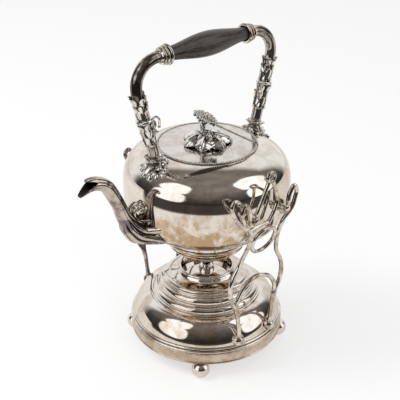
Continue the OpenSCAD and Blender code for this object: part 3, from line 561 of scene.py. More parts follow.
dome_radii = dome_foot - dome_run * (1 - np.cos(np.linspace(0, math.pi / 2, 40)))
dome_outline = (
    [(skirt_r, band_top), (skirt_r, dome_z - 1.2), (skirt_r + 0.25, dome_z - 0.5)]
    + [(r, float(dome_height(r))) for r in dome_radii]
    + bead(tier_r + 0.3, tier_z + 0.8, 0.85, -70, 100)
    + arc((tier_r - 0.9, tier_z + 2.2), (tier_r - 6.2, tier_z + 7.8), 18)
    + bead(tier_r - 6.6, tier_z + 8.7, 0.8, -70, 100)
    + arc((tier_r - 7.6, tier_z + 10.0), (tier_r - 12.4, tier_z + 15.6), 18)
    + bead(tier_r - 12.4, tier_z + 16.5, 0.8, -70, 90)
    + bead(tier_r - 13.2, tier_z + 18.2, 0.8, -70, 100)
    + arc((tier_r - 14.3, tier_z + 19.3), (tier_r - 19.8, collar_z - 0.4), 18)
    + smooth([(tier_r - 20.6, collar_z - 0.2), (well_r + 7.5, collar_z + 1.0),
              (well_r + 4.2, collar_z + 2.8), (well_r + 2.4, well_rim_z - 1.6),
              (well_r + 1.25, well_rim_z - 1.4)], 5).tolist())
base_dome = turned("domed_base", sheet_of(dome_outline), steps=256)
finish_piece(base_dome, "stand", "base plate", "base_dome")
print("dome:", len(base_dome.data.polygons), "faces")

# %% [markdown]
# ## The worn band
# Below the dome stands a plain upright band. Its silver has worn through to the warm metal beneath,
# which is why it is dull beside the polished dome. Two small mouldings edge it.

# %% The worn band
band_profile = (
    bead(base_r - 1.0, band_z + 1.0, 1.0, -90, 60)
    + [(base_r - 0.75, band_z + 2.2), (base_r - 0.7, band_top - 2.4)]
    + bead(base_r - 1.1, band_top - 1.1, 1.1, -50, 90)
    + [(base_r - 8, band_top), (base_r - 8, band_top - SHEET), (base_r - 2.2, band_top - SHEET),
       (base_r - 2.2, band_z + SHEET), (base_r - 12, band_z + SHEET), (base_r - 12, band_z)])
finish_piece(turned("worn_band", band_profile, steps=256), "stand", "worn band", "base_band")
print("band:", round(band_top - band_z, 1), "mm high")

# %% [markdown]
# ## Wires over the step, and the ball feet
# Two round wires hide the step between the band and the dome. Four balls with small flats carry the
# stand. Both are circles carried round an axis.

# %% Step wires and feet
step_wires = joined("step_wires_round", [
    turned("wire", bead(r, z, WIRE, 0, 345, 23), steps=256, sharp_deg=60)
    for r, z in ((base_r - WIRE, band_top + WIRE), (skirt_r + WIRE, band_top + 3.1 * WIRE))])
finish_piece(step_wires, "stand", "base plate", "step_wires")

ball_z = BALL_R - 0.3
ball_top = min(band_z, ball_z + BALL_R - 0.1)
ball_angles = np.linspace(-math.asin(ball_z / BALL_R), math.asin((ball_top - ball_z) / BALL_R), 40)
ball_profile = [(0, 0)] + [(BALL_R * math.cos(a), ball_z + BALL_R * math.sin(a)) for a in ball_angles]
ball_profile += [(1.6, ball_top), (1.6, band_z + 1.4), (0, band_z + 1.4)]
ball_places = [Matrix.Rotation(math.radians(a), 4, "Z") @ Matrix.Translation((base_r - 3, 0, 0))
               for a in (45, 135, 225, 315)]
feet = joined("ball_feet_round", [turned("foot", ball_profile, p, 64) for p in ball_places])
finish_piece(feet, "stand", "base plate", "ball_feet")
print("base: band, two wires and", len(ball_places), "feet")

# %% [markdown]
# ## The burner in its well
# A spun cup holds the loose spirit burner: a squat font, a screw socket, and a knurled collar that
# carries the wick tube. All of it is turned work, so all of it is lathed here.

# %% The well and the burner
font_z, font_rim_z = low("burner_font").z, low("burner_font").z + 15
socket_z, collar_low = low("burner_screw_socket").z, high("burner_screw_socket").z
tube_top, wick_top = high("wick_tube").z, high("wick").z
well_wall = well_r + SHEET
well_profile = (
    [(0, font_z - SHEET), (well_wall, font_z - SHEET), (well_wall, well_rim_z - 0.9)]
    + bead(well_wall, well_rim_z, 1.4, -60, 200, 16)
    + [(well_r, well_rim_z - 1.2), (well_r, font_z), (0, font_z)])
font_profile = [
    (0, font_z), (well_r - 1.8, font_z), (well_r - 0.9, font_z + 0.4), (well_r - 0.5, font_z + 1.2),
    (well_r - 0.5, font_rim_z - 0.6), (well_r - 0.8, font_rim_z), (well_r - 1.6, font_rim_z + 0.3),
    (20, font_rim_z + 1.2), (12, socket_z), (0, socket_z)]
socket_profile = [
    (6.06, socket_z), (9, socket_z), (9, socket_z + 1.2), (8.6, socket_z + 1.7),
    (8.6, collar_low - 0.5), (8.2, collar_low), (6.06, collar_low)]
for name, profile, steps, body, node in (
        ("burner_well_spun", well_profile, 192, "stand", "burner_well"),
        ("burner_font_spun", font_profile, 128, "burner", "burner_font"),
        ("burner_socket_spun", socket_profile, 96, "burner", "burner_screw_socket")):
    finish_piece(turned(name, profile, steps=steps), body, "base plate", node)
print("well rim", round(well_rim_z, 1), "mm, font", round(font_z, 1), "to", round(font_rim_z, 1),
      "mm, tube to", round(tube_top, 1), "mm")

# %% [markdown]
# ### The knurled collar
# Twelve round knurls stand round the wick's collar. Geometry Nodes set them out: points on a circle,
# one rod instanced on each, then everything made real and joined to a lathed ring.


# %% Geometry Nodes helpers
def geometry_tree(name, inputs):
    return make_group(name, "GeometryNodeTree", inputs, [("Geometry", "NodeSocketGeometry")])


def points_at(tree, count, distance, angle, height):
    """Points that stand at a distance from the axis, at an angle and at a height."""
    x, y = (figured(tree, "MULTIPLY", figured(tree, wave, angle), distance)
            for wave in ("COSINE", "SINE"))
    spot = wired(tree, "ShaderNodeCombineXYZ", {0: x, 1: y, 2: height}).outputs[0]
    return wired(tree, "GeometryNodePoints", {"Count": count, "Position": spot}).outputs[0]


def close_tree(tree, results, material, points, shape, **placing):
    """Ends a tree: a shape on every point, made real, smooth and given its material."""
    made = wired(tree, "GeometryNodeInstanceOnPoints", {"Points": points, "Instance": shape, **placing})
    for kind in ("GeometryNodeRealizeInstances", "GeometryNodeSetShadeSmooth",
                 "GeometryNodeSetMaterial"):
        made = wired(tree, kind, {"Geometry": made.outputs[0]})
    made.inputs["Material"].default_value = material
    tree.links.new(made.outputs[0], results[0])


def grown(name, tree, values=None):
    """The mesh that a tree makes, as a plain object; inputs are set by identifier."""
    carrier = new_object(name, bpy.data.meshes.new(name))
    modifier = carrier.modifiers.new("nodes", "NODES")
    modifier.node_group = tree
    for item in tree.interface.items_tree:
        if item.item_type == "SOCKET" and item.in_out == "INPUT" and item.name in (values or {}):
            modifier[item.identifier] = values[item.name]
    evaluated = carrier.evaluated_get(bpy.context.evaluated_depsgraph_get())
    mesh = bpy.data.meshes.new_from_object(evaluated)
    carrier.modifiers.remove(modifier)
    carrier.data = mesh
    return carrier


# %% A circle of shapes
def circle_tree(name, material, shape):
    """A tree that sets a shape out along a circle: shape(tree) gives the geometry."""
    tree, given, results = geometry_tree(name, [
        ("Count", WHOLE, 12), ("Radius", NUMBER, 0.0074), ("Height", NUMBER, 0.0),
        ("Start", NUMBER, 0.0), ("Sweep", NUMBER, 2 * math.pi), ("Tilt", NUMBER, 0.0)])
    index = wired(tree, "GeometryNodeInputIndex").outputs[0]
    share = figured(tree, "DIVIDE", index, given["Count"])
    angle = figured(tree, "MULTIPLY_ADD", share, given["Sweep"], given["Start"])
    points = points_at(tree, given["Count"], given["Radius"], angle, given["Height"])
    spin = wired(tree, "ShaderNodeCombineXYZ", {0: given["Tilt"], 1: 0.0, 2: angle}).outputs[0]
    close_tree(tree, results, material, points, shape(tree), Rotation=spin)
    return tree


def knurl(tree):
    rod = {"Vertices": 12, "Radius": 0.0009, "Depth": 0.0022}
    return wired(tree, "GeometryNodeMeshCylinder", rod).outputs["Mesh"]


# %% The wick holder
knurls = grown("knurls", circle_tree("knurled collar", FINISHES["base plate"], knurl),
               {"Height": (collar_low + 1.2) * MM})
collar_ring = turned("collar_ring", [
    (4.75, socket_z - 1), (5.9, socket_z - 1), (5.9, collar_low), (6.9, collar_low),
    (7.4, collar_low + 0.4), (7.4, collar_low + 2), (6.9, collar_low + 2.4),
    (4.75, collar_low + 2.4)], steps=96)
collar = joined("wick_collar_knurled", [collar_ring, knurls])
finish_piece(collar, "wick_holder", "base plate", "wick_collar")
wick_tube = turned("wick_tube_drawn", [
    (3.9, socket_z - 1), (4.7, socket_z - 1), (4.7, tube_top - 0.5)]
    + bead(4.35, tube_top - 0.5, 0.4, 0, 180) + [(3.9, tube_top - 0.8)], steps=64)
finish_piece(wick_tube, "wick_holder", "base plate", "wick_tube")

# %% [markdown]
# ### The wick
# A cotton wick is a bundle of soft yarns. Its top is a little frayed dome, so each yarn ends in a
# small bump of its own.


# %% The wick
def wick_bundle(rings=26, around=56, wick_r=3.8, yarns=7, dome_from=0.88):
    """Yarns that twist a little on their way up and close in over the last share of the height."""
    foot_z = low("wick").z
    angles = round_angles(around)
    points = []
    for s in np.arange(rings) / (rings - 1):
        z = foot_z + (wick_top - foot_z) * min(1, s * 1.12)
        over = max(0.0, s - dome_from) / (1 - dome_from)
        close = math.sqrt(max(0.0, 1 - over**2))
        r = wick_r * (1 + 0.05 * np.cos(yarns * angles + 9 * s)) * close
        lift = 0.25 * np.cos(yarns * angles) * (1 - close)
        points += list(zip(r * np.cos(angles), r * np.sin(angles), z + lift - 0.3))
    return make_piece("wick_yarns", points, grid_faces(rings, around) + [tuple(range(around))], 80)


finish_piece(wick_bundle(), "wick_holder", "cotton", "wick")
print("burner and wick holder made")

# %% [markdown]
# ## The wire brackets
# Each side bracket was cast in one piece as if bent from wire: two legs from the dome, an arch between
# them, a ring at the waist, hooks with hairpin tops for the pins, and a tendril up to a small ring.
# Every wire is a smooth curve through a few points of the front view, laid on the bracket's leaning
# sheet, then given a round section. A cast wire is never quite even, so its thickness swells at each
# meeting and thins between them.

# %% The bracket's levels
pin_x, pin_z, pin_r, wire_r = 21.3, body_z, 2.5, 2.4
hook_y = high("front_cradles").y - wire_r
cradle_r = pin_r + 0.06 + wire_r
leg_y, leg_x, spread = 80.0, 22.5, 37.0
pad_y = leg_y - 2
ring_r, ring_wire = 17.5, 2.1
pad_share = (math.hypot(leg_x, pad_y) - tier_r) / (skirt_r + 0.5 - tier_r)
pad_z = dome_z + DOME_RISE * math.sqrt(1 - pad_share**2)
pad_top = pad_z + 2.5
lean_z, fork_z = pad_z + 0.54 * (pin_z - pad_z), pad_top + 0.24 * (pin_z - pad_top)
spread_z, waist_z = pad_top + 0.43 * (pin_z - pad_top), pad_top + 0.78 * (pin_z - pad_top)
arch_z, waist_x, eye_r = spread_z + 4, ring_r + 0.1 + wire_r, 4.6


def wire_y(z):
    """How far out from the axis the bracket's sheet stands at a level."""
    s = np.clip((np.asarray(z) - lean_z) / (pin_z - lean_z), 0, 1)
    return leg_y + (hook_y - leg_y) * s * s * (3 - 2 * s)


def on_bracket(front, steps=8):
    """A smooth path on the near side's sheet from (x, z) points of the front view."""
    flat = smooth(front, steps)
    return np.stack([flat[:, 0], -wire_y(flat[:, 1]), flat[:, 1]], axis=1)


# %% The wires' paths
def leg_path(s, hairpin):
    """A leg from its pad up to the hairpin, down again and round under its pin."""
    climb = waist_z - spread_z
    front = [
        (leg_x, pad_top - 0.6), (leg_x + 1.5, pad_top + 0.4 * (fork_z - pad_top)),
        (leg_x + 5, fork_z), (spread - 2, 0.5 * (fork_z + spread_z)), (spread, spread_z),
        (spread - 3, spread_z + 0.25 * climb), (waist_x + 6.5, spread_z + 0.52 * climb),
        (waist_x + 1.4, waist_z - 0.35 * ring_r), (waist_x, waist_z + 0.2 * ring_r),
        (waist_x + 2.5, waist_z + ring_r), (pin_x + 10, pin_z - 5),
        (pin_x + 14.5, pin_z + 0.25 * hairpin), (pin_x + 16.4, pin_z + 0.65 * hairpin),
        (pin_x + 12.6, pin_z + hairpin), (pin_x + 7.4, pin_z + 0.73 * hairpin),
        (pin_x + cradle_r + 0.4, pin_z + 0.4 * hairpin), (pin_x + cradle_r, pin_z + 0.16 * hairpin),
        (pin_x + cradle_r, pin_z)]
    round_under = [(s * (pin_x + cradle_r * math.cos(a)), -hook_y, pin_z - cradle_r * math.sin(a))
                   for a in np.radians(np.arange(9, 184, 9))]
    return np.vstack([on_bracket([(s * x, z) for x, z in front]), round_under])


def arch_front():
    half = [(leg_x + 5, fork_z), (0.72 * spread, fork_z + 0.4 * (arch_z - fork_z)),
            (0.45 * spread, arch_z - 6)]
    return [(-x, z) for x, z in half] + [(0, arch_z)] + half[::-1]


def tendril_front(top):
    """From one hook across to the other side, and back up to the small ring."""
    return [(-pin_x - 7, pin_z - 12), (-pin_x, pin_z - 10.5), (7.5 - pin_x, pin_z - 9.5),
            (-7, pin_z - 9.5), (0, pin_z - 9), (4, pin_z - 3), (8, pin_z + 0.11 * top),
            (10.5, pin_z + 0.32 * top), (7.5, pin_z + 0.62 * top), (2.5, pin_z + top - eye_r)]


def prong_front(top):
    """From the small ring down over the pivot pin, which it keeps in its hook."""
    over_pin = pin_z + pin_r + wire_r
    return [(-2.5, pin_z + top - eye_r), (-8, pin_z + 0.62 * top), (8 - pin_x, pin_z + 0.35 * top),
            (4 - pin_x, over_pin + 2.3), (1.6 - pin_x, over_pin + 0.4)]


curl_front = [(-pin_x - out, pin_z + up) for out, up in (
    (10, -7), (20, 3.5), (27, 15), (29.5, 24), (27, 29), (22.5, 28.5), (20, 24.5))]


# %% One bracket
HOOK_STEPS = 24


def uneven(path, size, seed):
    """A cast wire's radius along its path: slow random swells of a few hundredths."""
    knots = np.random.default_rng(seed).uniform(0.95, 1.06, 12)
    return size * np.interp(np.linspace(0, 11, len(path)), np.arange(12), knots)


def ball_at(name, place, size, steps=32):
    """A cast ball or bud, closed at its poles."""
    points = [(size * math.cos(a) * math.cos(t), size * math.cos(a) * math.sin(t), size * math.sin(a))
              for a in np.linspace(-math.pi / 2, math.pi / 2, steps // 2) for t in round_angles(steps)]
    return make_piece(name, np.array(points) + np.array(place), grid_faces(steps // 2, steps), 80)


def bracket(hairpin, top, curl):
    """All the wires of the near bracket."""
    wires = []
    for seed, side in ((3, -1), (4, 1)):
        path = leg_path(side, hairpin)
        z = path[:, 2]
        swell = 0.22 * np.exp(-((z - fork_z) / 7) ** 2) + 0.25 * np.exp(-((z - pad_top) / 4) ** 2)
        size = uneven(path, wire_r, seed) * (1 + swell)
        size[-HOOK_STEPS:] = wire_r
        wires += [drawn("leg", path, size), ball_at("hook_end", path[-1], wire_r + 0.25)]
    fine, turns = wire_r - 0.3, round_angles(48)
    for name, front, size, seed in (("arch", arch_front(), wire_r, 7),
                                    ("tendril", tendril_front(top), fine, 11),
                                    ("prong", prong_front(top), fine, 12)):
        path = on_bracket(front)
        wires.append(drawn(name, path, uneven(path, size, seed)))
    waist = ring_r - ring_wire
    lean = math.atan((wire_y(waist_z + ring_r) - wire_y(waist_z - ring_r)) / (2 * ring_r))
    eye = np.stack([eye_r * np.cos(turns), np.full(48, -hook_y),
                    pin_z + top + eye_r * np.sin(turns)], axis=1)
    waist_ring = np.stack([waist * np.cos(turns),
                           -wire_y(waist_z) - waist * np.sin(turns) * math.sin(lean),
                           waist_z + waist * np.sin(turns) * math.cos(lean)], axis=1)
    for name, ring, size, seed in (("eye", eye, fine, 15), ("waist", waist_ring, ring_wire, 16)):
        wires.append(drawn(name, ring, uneven(ring, size, seed), loop=True))
    if curl:
        path = on_bracket(curl_front)
        wires.append(drawn("curl", path, np.linspace(wire_r, 1.5, len(path))))
        wires.append(ball_at("curl_end", path[-1], 2.3))
    return wires


left = joined("left_bracket_cast", bracket(20.5, 40.6, True))
right_way = joined("right_way", bracket(13, 33, False))
right = mirrored("right_bracket_cast", right_way, 1)
bpy.data.objects.remove(right_way)
finish_piece(left, "stand", "bright wire", "left_bracket", "waist_rings")
# The far bracket is cast like the near one but takes the darker arm plate, as painted shade.
finish_piece(right, "stand", "arm plate", "right_bracket", "front_cradles", "rear_cradles")
print("bracket wires:", len(left.data.vertices) + len(right.data.vertices), "points")

# %% [markdown]
# ### The pads
# Each leg ends in a small domed pad with a bead round the wire, soldered where the dome is steepest.
# The pad is a ball whose hidden half is drawn back onto the dome's surface, so nothing shows inside.


# %% The pads
def pad(side_x, side_y, rings=28, around=48, size=7.0):
    """A ball, nearly flat on top and drawn back onto the dome below, with a bead round its wire."""
    cx, cy, angles, rows = side_x * leg_x, side_y * pad_y, round_angles(around), []
    for a in np.linspace(0, math.pi, rings):
        r = size * math.sin(a)
        x, y = cx + r * np.cos(angles), cy + r * np.sin(angles)
        z = min(pad_z - 2.5 + size * math.cos(a), pad_top + 0.25 * (1 - (r / size) ** 2))
        rows.append(np.stack([x, y, np.maximum(z, dome_height(np.hypot(x, y)) - 0.5)], axis=1))
    cup = make_piece("pad", np.vstack(rows), grid_faces(rings, around), 50)
    ring_at = Matrix.Translation((cx, cy, pad_top))
    return [cup, turned("pad_bead", bead(3.4, 0.5, 0.9, 0, 330, 11), ring_at, 48, 80)]


pads = joined("bracket_pads_cast", [p for sx in (-1, 1) for sy in (-1, 1) for p in pad(sx, sy)])
finish_piece(pads, "stand", "bright wire", "bracket_pads")
print("pads:", len(pads.data.polygons), "faces")

# %% [markdown]
# ## The kettle's body
# The body was spun in one piece: a full, squashed shoulder that turns in to a flat seat for the lid,
# and an even fuller belly. Both curves are superellipses, as in the frame, with enough points to
# carry a clean reflection.

# %% The body
WALL, MOUTH_R, LINING_R = 1.3, 46.0, 47.3


def kettle_outline(wall=0.0, steps=64):
    """The body's profile from the lid's seat down to the axis, drawn in by a wall."""
    r0, up, down = body_r - wall, shoulder_full - wall, belly_h - wall
    shares = round_off((seat_r - wall) / r0, SHOULDER_POWER) * (1 - (np.arange(steps) / steps) ** 1.5)
    out = [(r0 * round_off(s, SHOULDER_POWER), body_z + up * s) for s in shares]
    for a in np.linspace(0, math.pi / 2, steps + 1):
        c, s = math.cos(a), math.sin(a)
        k = (c**BELLY_POWER + s**BELLY_POWER) ** (-1 / BELLY_POWER)
        out.append((r0 * c * k, body_z - down * s * k))
    return out


inner = kettle_outline(WALL)
body_profile = [(MOUTH_R, seat_z), (seat_r - 0.5, seat_z)] + kettle_outline()[1:]
body_profile += inner[::-1] + [(MOUTH_R, inner[0][1])]
kettle_body = turned("kettle_body_spun", body_profile, steps=288)
finish_piece(kettle_body, "kettle", "kettle plate", "kettle_body")
neck_low, neck_top = low("neck_flange").z, high("neck_flange").z
neck = turned("neck_lining", [(MOUTH_R, neck_low), (LINING_R, neck_low), (LINING_R, neck_top),
                              (MOUTH_R, neck_top)])
finish_piece(neck, "kettle", "kettle plate", "neck_flange")
print("kettle body:", len(kettle_body.data.polygons), "faces")

# %% [markdown]
# ### The stepped foot ring
# Under the belly hangs a stepped ring with three mouldings. It keeps the flame's heat in, and it is
# what shows the brightest stripes of reflection.

# %% The foot ring
ring_top, ring_bottom = high("kettle_foot_ring").z, low("kettle_foot_ring").z
ring_out, ring_low, RING_WALL = 48.5, 42.0, 2.2
step_r = ring_out - (ring_out - ring_low) / 2
belly_at = body_z - belly_h * round_off((ring_out - RING_WALL) / body_r, BELLY_POWER)
foot_profile = (
    [(ring_out, ring_top), (ring_out, ring_top - 1.8)]
    + bead(ring_out - 0.7, ring_top - 2.9, 0.9, 60, -80)
    + arc((step_r, ring_top - 8), (ring_out - 0.6, ring_top - 4.2), 10)[::-1]
    + [(step_r, ring_top - 12)] + bead(step_r, ring_top - 14, 1.15, 75, -75)
    + [(step_r - 0.2, ring_top - 16)]
    + smooth([(step_r - 0.2, ring_top - 16), (ring_low + 0.4, ring_top - 17.6),
              (ring_low - 0.8, ring_top - 19.2), (ring_low - 1.0, ring_bottom + 3.2)], 5).tolist()
    + bead(ring_low - 0.9, ring_bottom + 1.1, 1.1, 80, -85)
    + [(ring_low - 2.4, ring_bottom), (ring_low - 2.4, ring_top - 18), (step_r - 2.4, ring_top - 14),
       (step_r - 2.4, ring_top - 8), (ring_out - RING_WALL, ring_top - 4),
       (ring_out - RING_WALL, belly_at)])
foot_ring = turned("foot_ring_spun", foot_profile, steps=256)
finish_piece(foot_ring, "kettle", "kettle plate", "kettle_foot_ring")
print("foot ring:", round(ring_top - ring_bottom, 1), "mm deep")

# %% [markdown]
# ### Pins and bosses
# Four steel-hard pins stand out of round bosses on the kettle's sides. The two nearest the spout are
# the pivot, the other two only rest in their hooks. Each has a small turned head.

# %% Pins and bosses
pin_end, head_r = high("pivot_pins").y, pin_r + 1.2
boss_out = math.sqrt(body_r**2 - pin_x**2)
boss_profile = (
    [(2.55, boss_out - 3.4), (6.5, boss_out - 3.4), (6.5, boss_out + 0.6)]
    + bead(5.7, boss_out + 1.2, 0.8, 0, 90) + [(4.2, boss_out + 2.0), (2.55, boss_out + 2.0)])
pin_profile = [
    (0, body_r - 4), (pin_r, body_r - 4), (pin_r, pin_end - 2.9), (head_r - 0.1, pin_end - 2.8),
    (head_r, pin_end - 2.4), (head_r, pin_end - 1.0)] + arc((head_r, pin_end - 1.0), (0, pin_end), 8)


def to_side(x, side):
    """Carries a shape that stands on its +Z axis to a pin's line on one side of the kettle."""
    return Matrix.Translation((x, 0, pin_z)) @ Matrix.Rotation(math.radians(-90 * side), 4, "X")


for node, profile, steps, places in (("pivot_pins", pin_profile, 48, (-pin_x,)),
                                     ("cradle_pins", pin_profile, 48, (pin_x,)),
                                     ("pin_bosses", boss_profile, 64, (-pin_x, pin_x))):
    made = [turned("pin", profile, to_side(x, side), steps) for x in places for side in (-1, 1)]
    finish_piece(joined(node + "_turned", made), "kettle", "bright wire", node)
print("four pins in their bosses, out to", round(pin_end, 1), "mm")

# %% [markdown]
# ## The spout
# A swan neck with a wide root. It was cast in two halves, with lengthwise lobes that swell at the root
# and fade into soft facets along the neck. Rings along the centre line give the form, and each ring's
# radius rises and falls with the lobes. Each lengthwise line of points starts on the body and ends at
# a mouth that is cut back like a beak, its lower lip shorter than its upper one. So the spout fits both
# exactly, and the same lines, moved inwards, make the bore.

# %% The spout's lines
root_z, lip_z, reach, neck_r = body_z - 0.49 * belly_h, 236.0, 158.0, 7.2
rise, bx = lip_z - body_z, -body_r
# Along the centre line: x, z, and the half widths upwards and sideways.
spout_line = [
    (bx + 24, root_z + 1, 19, 23), (bx + 8, root_z, 18, 21), (bx - 3, root_z + 1, 15.5, 16),
    (bx - 11.5, root_z + 8, 0.5 * (18 + neck_r), 0.5 * (21 + neck_r) - 1),
    (bx - 17, root_z + 17, neck_r + 2.2, neck_r + 2),
    (bx - 21, body_z - 0.05 * rise, neck_r + 0.8, neck_r + 0.8),
    (bx - 25.5, body_z + 0.25 * rise, neck_r, neck_r),
    (bx - 30.5, body_z + 0.53 * rise, neck_r, neck_r),
    (bx - 38.5, body_z + 0.88 * rise, neck_r, neck_r),
    (bx - 47.5, body_z + 1.05 * rise, neck_r - 0.3, neck_r),
    (0.5 * (bx - 47.5 - reach), body_z + 1.1 * rise, neck_r - 0.4, neck_r),
    (-reach - 3, lip_z + 0.5, neck_r - 1.2, neck_r - 0.6)]
spout_path = smooth(spout_line, 12)
heading = np.gradient(spout_path[:, :2], axis=0)
heading /= np.linalg.norm(heading, axis=1)[:, None]
FLUTES, LOBES, AROUND, ALONG, BLEND = 6, 10, 240, 150, 16
LOBE_DEPTH, FLUTE_DEPTH = 0.30, 0.11
spout_angles = round_angles(AROUND)
crest = np.abs(np.cos(LOBES * spout_angles / 2)) ** 0.6


def spout_lines(wall, lobe_depth, flute_depth):
    """Points of every lengthwise line (line, step, xyz), drawn in by a wall and by its lobes."""
    share = np.linspace(0, 1, len(spout_path))[:, None]
    fade = np.clip(1.3 - 1.9 * share, 0, 1) ** 1.3
    a = spout_angles[None, :]
    flute = np.abs(np.cos(FLUTES * (a + math.pi / FLUTES) / 2)) ** 0.7
    dip = (1 - lobe_depth * fade * (1 - crest[None, :])
           - flute_depth * (1 - fade / fade.max()) * (1 - flute))
    up = (spout_path[:, 2:3] - wall) * np.cos(a) * dip
    out = -(spout_path[:, 3:4] - wall) * np.sin(a) * dip
    x = spout_path[:, 0:1] - heading[:, 1:2] * up
    z = spout_path[:, 1:2] + heading[:, 0:1] * up
    return np.stack([x, out, z], axis=2).transpose(1, 0, 2)


# %% Trimming the lines at the body and the mouth
def fullness(p, wall):
    """How full of the body a point lies, 1 on its surface drawn in by a wall, and by which power."""
    z = p[..., 2] - body_z
    half, power = np.where(z > 0, shoulder_full, belly_h), np.where(z > 0, SHOULDER_POWER, BELLY_POWER)
    across = (np.hypot(p[..., 0], p[..., 1]) / (body_r - wall)) ** power
    return across + (np.abs(z) / (half - wall)) ** power, power


def trimmed(line, angle):
    """One lengthwise line from the middle of the body's wall to the mouth, in ALONG steps."""
    within = 1 - fullness(line, 0.6)[0]
    i = np.nonzero(within > 0)[0].max()
    start = i + within[i] / (within[i] - within[i + 1])
    c = math.cos(angle) + 0.45
    cut_back = 20.5 * c / 1.45 if c > 0 else -12 * c / 0.55
    over = -reach + 18 - cut_back - line[:, 0]
    past = np.nonzero(over > 0)[0]
    end = len(line) - 1
    if len(past):
        j = past.min() - 1
        end = j + min(over[j] / (over[j] - over[j + 1]), 1)
    at = start + (end - start) * np.linspace(0, 1, ALONG)
    return np.stack([np.interp(at, np.arange(len(line)), line[:, k]) for k in range(3)], axis=1)


def onto_skin(points, lift):
    """Carries points along rays from the body's middle to a height over its skin."""
    middle = np.array([0, 0, body_z])
    full, power = fullness(points, 0)
    skin = (points - middle) * (full ** (-1 / power))[:, None]
    return middle + skin * (1 + lift / np.linalg.norm(skin, axis=1))[:, None]


def trimmed_lines(*shape):
    return np.array([trimmed(line, a) for line, a in zip(spout_lines(*shape), spout_angles)])


outer, bore = trimmed_lines(0, LOBE_DEPTH, FLUTE_DEPTH), trimmed_lines(WALL, 0, 0)

# %% [markdown]
# ### The tongues at the root
# Where the lobes meet the body they spread over it as flat tongues, longest at the sides. The first
# points of every line are bent out to a tip that lies on the body's skin.

# %% The tongues at the root
outward = outer[:, 0] - outer[:, 0].mean(axis=0)
outward[:, 0] = 0
outward /= np.linalg.norm(outward, axis=1)[:, None]
reach_out = (3 + 8 * np.abs(np.sin(spout_angles))**2) * crest**2 + 1.0
tip = onto_skin(outer[:, 0] + outward * reach_out[:, None], np.full(AROUND, -0.5))
shoulder_at = onto_skin(outer[:, 0] + outward * 0.55 * reach_out[:, None], 0.4 + 1.9 * crest)
kept = outer[:, BLEND].copy()
for k in range(BLEND):
    t = k / BLEND
    outer[:, k] = (1 - t) ** 2 * tip + 2 * t * (1 - t) * shoulder_at + t**2 * kept
rows = np.concatenate([outer.transpose(1, 0, 2), bore.transpose(1, 0, 2)[::-1]])
down_neck = np.clip(1.15 - np.linspace(0, 1.7, ALONG), 0, 1)[:, None]
groove = np.clip(1.25 - 1.6 * crest, 0, 1)[None, :] * down_neck
# The bore is written as fully deep, so it is dark all through: oxide and painted shade inside the spout.
spout_depth = np.concatenate([groove, np.ones((ALONG, AROUND))]).ravel()
spout_tube = make_piece("spout_tube", rows.reshape(-1, 3), grid_faces(len(rows), AROUND, loop=True),
                        depths=spout_depth)
print("spout:", LOBES, "lobes,", len(spout_tube.data.polygons), "faces")

# %% [markdown]
# ### The rolled leaf on the root
# Where the neck meets its root sits a leaf rolled up into a knob. Two spirals close its sides and a
# round body fills it between them.

# %% The rolled leaf
knob_place = Vector((-body_r - 3.0, 0, root_z + 24.5))


def spiral(side):
    """The rolled edge of the leaf, from its foot on the root round and in to its eye."""
    t = np.linspace(0, 1, 90)
    angle, r = np.radians(-70 + 300 * t), 7.6 * (1 - t) ** 0.9 + 1.2
    path = np.stack([knob_place.x - r * np.cos(angle), side * (4.4 + 2.2 * t),
                     knob_place.z + r * np.sin(angle)], axis=1)
    return drawn("roll", path, np.interp(t, [0, 0.15, 1], [1.0, 1.4, 0.9]), sides=12)


roll_half = [(0, 5.6), (3.4, 5.5), (5.4, 4.3), (6.6, 2.2)]
roll_profile = [(r, -x) for r, x in roll_half] + [(7.0, 0)] + roll_half[::-1]
roll_turn = Matrix.Translation(knob_place) @ Matrix.Rotation(math.radians(90), 4, "X")
roll = turned("roll_body", smooth(roll_profile, 4), roll_turn, 72, 60)
finish_piece(spout_tube, "kettle", "spout plate", "spout")
finish_piece(joined("rolled_leaf", [roll, spiral(-1), spiral(1)]), "kettle", "bright wire")
print("rolled leaf at", round(knob_place.z, 1), "mm")

# %% [markdown]
# ## The rope border
# A rope of slanting beads runs round the lid and its fixed part. It is the same circle of points as
# the knurls, with a longer bead leaning over on each point. The border breaks where the hinge is, and
# its two parts ride on the lid and on the kettle.

# %% The rope border
BEAD_STEP, hinge_gap, rope_ring_r = 2.05, 2.6, plate_r + 1.25
hinge_x = (low("hinge_pin").x + high("hinge_pin").x) / 2


def rope_bead(tree):
    grain = wired(tree, "GeometryNodeMeshUVSphere", {"Segments": 12, "Rings": 8, "Radius": 0.001})
    return wired(tree, "GeometryNodeTransform", {
        "Geometry": grain.outputs["Mesh"], "Scale": (0.95, 1.55, 0.8)}).outputs[0]


rope = circle_tree("rope border", FINISHES["satin silver"], rope_bead)
for name, body, node, half, centre in (
        ("lid_rope", "lid", "lid_rope_border",
         math.pi - math.acos((hinge_x - hinge_gap) / rope_ring_r), math.pi),
        ("fixed_rope", "kettle", "fixed_rope_border",
         math.acos((hinge_x + hinge_gap) / rope_ring_r), 0.0)):
    count = int(2 * half * rope_ring_r / BEAD_STEP)
    beads = grown(name + "_beads", rope, {
        "Count": count, "Radius": rope_ring_r * MM, "Height": (lid_top - 0.15) * MM,
        "Start": centre - half * (count - 1) / count, "Sweep": 2 * half, "Tilt": math.radians(38)})
    turns = np.linspace(centre - half, centre + half, 120)
    core = np.stack([rope_ring_r * np.cos(turns), rope_ring_r * np.sin(turns),
                     np.full(120, lid_top - 0.3)], axis=1)
    rope_piece = joined(name, [beads, drawn(name + "_core", core, 0.85, 10)])
    finish_piece(rope_piece, body, "satin silver", node)
    print(name, "has", count, "beads")

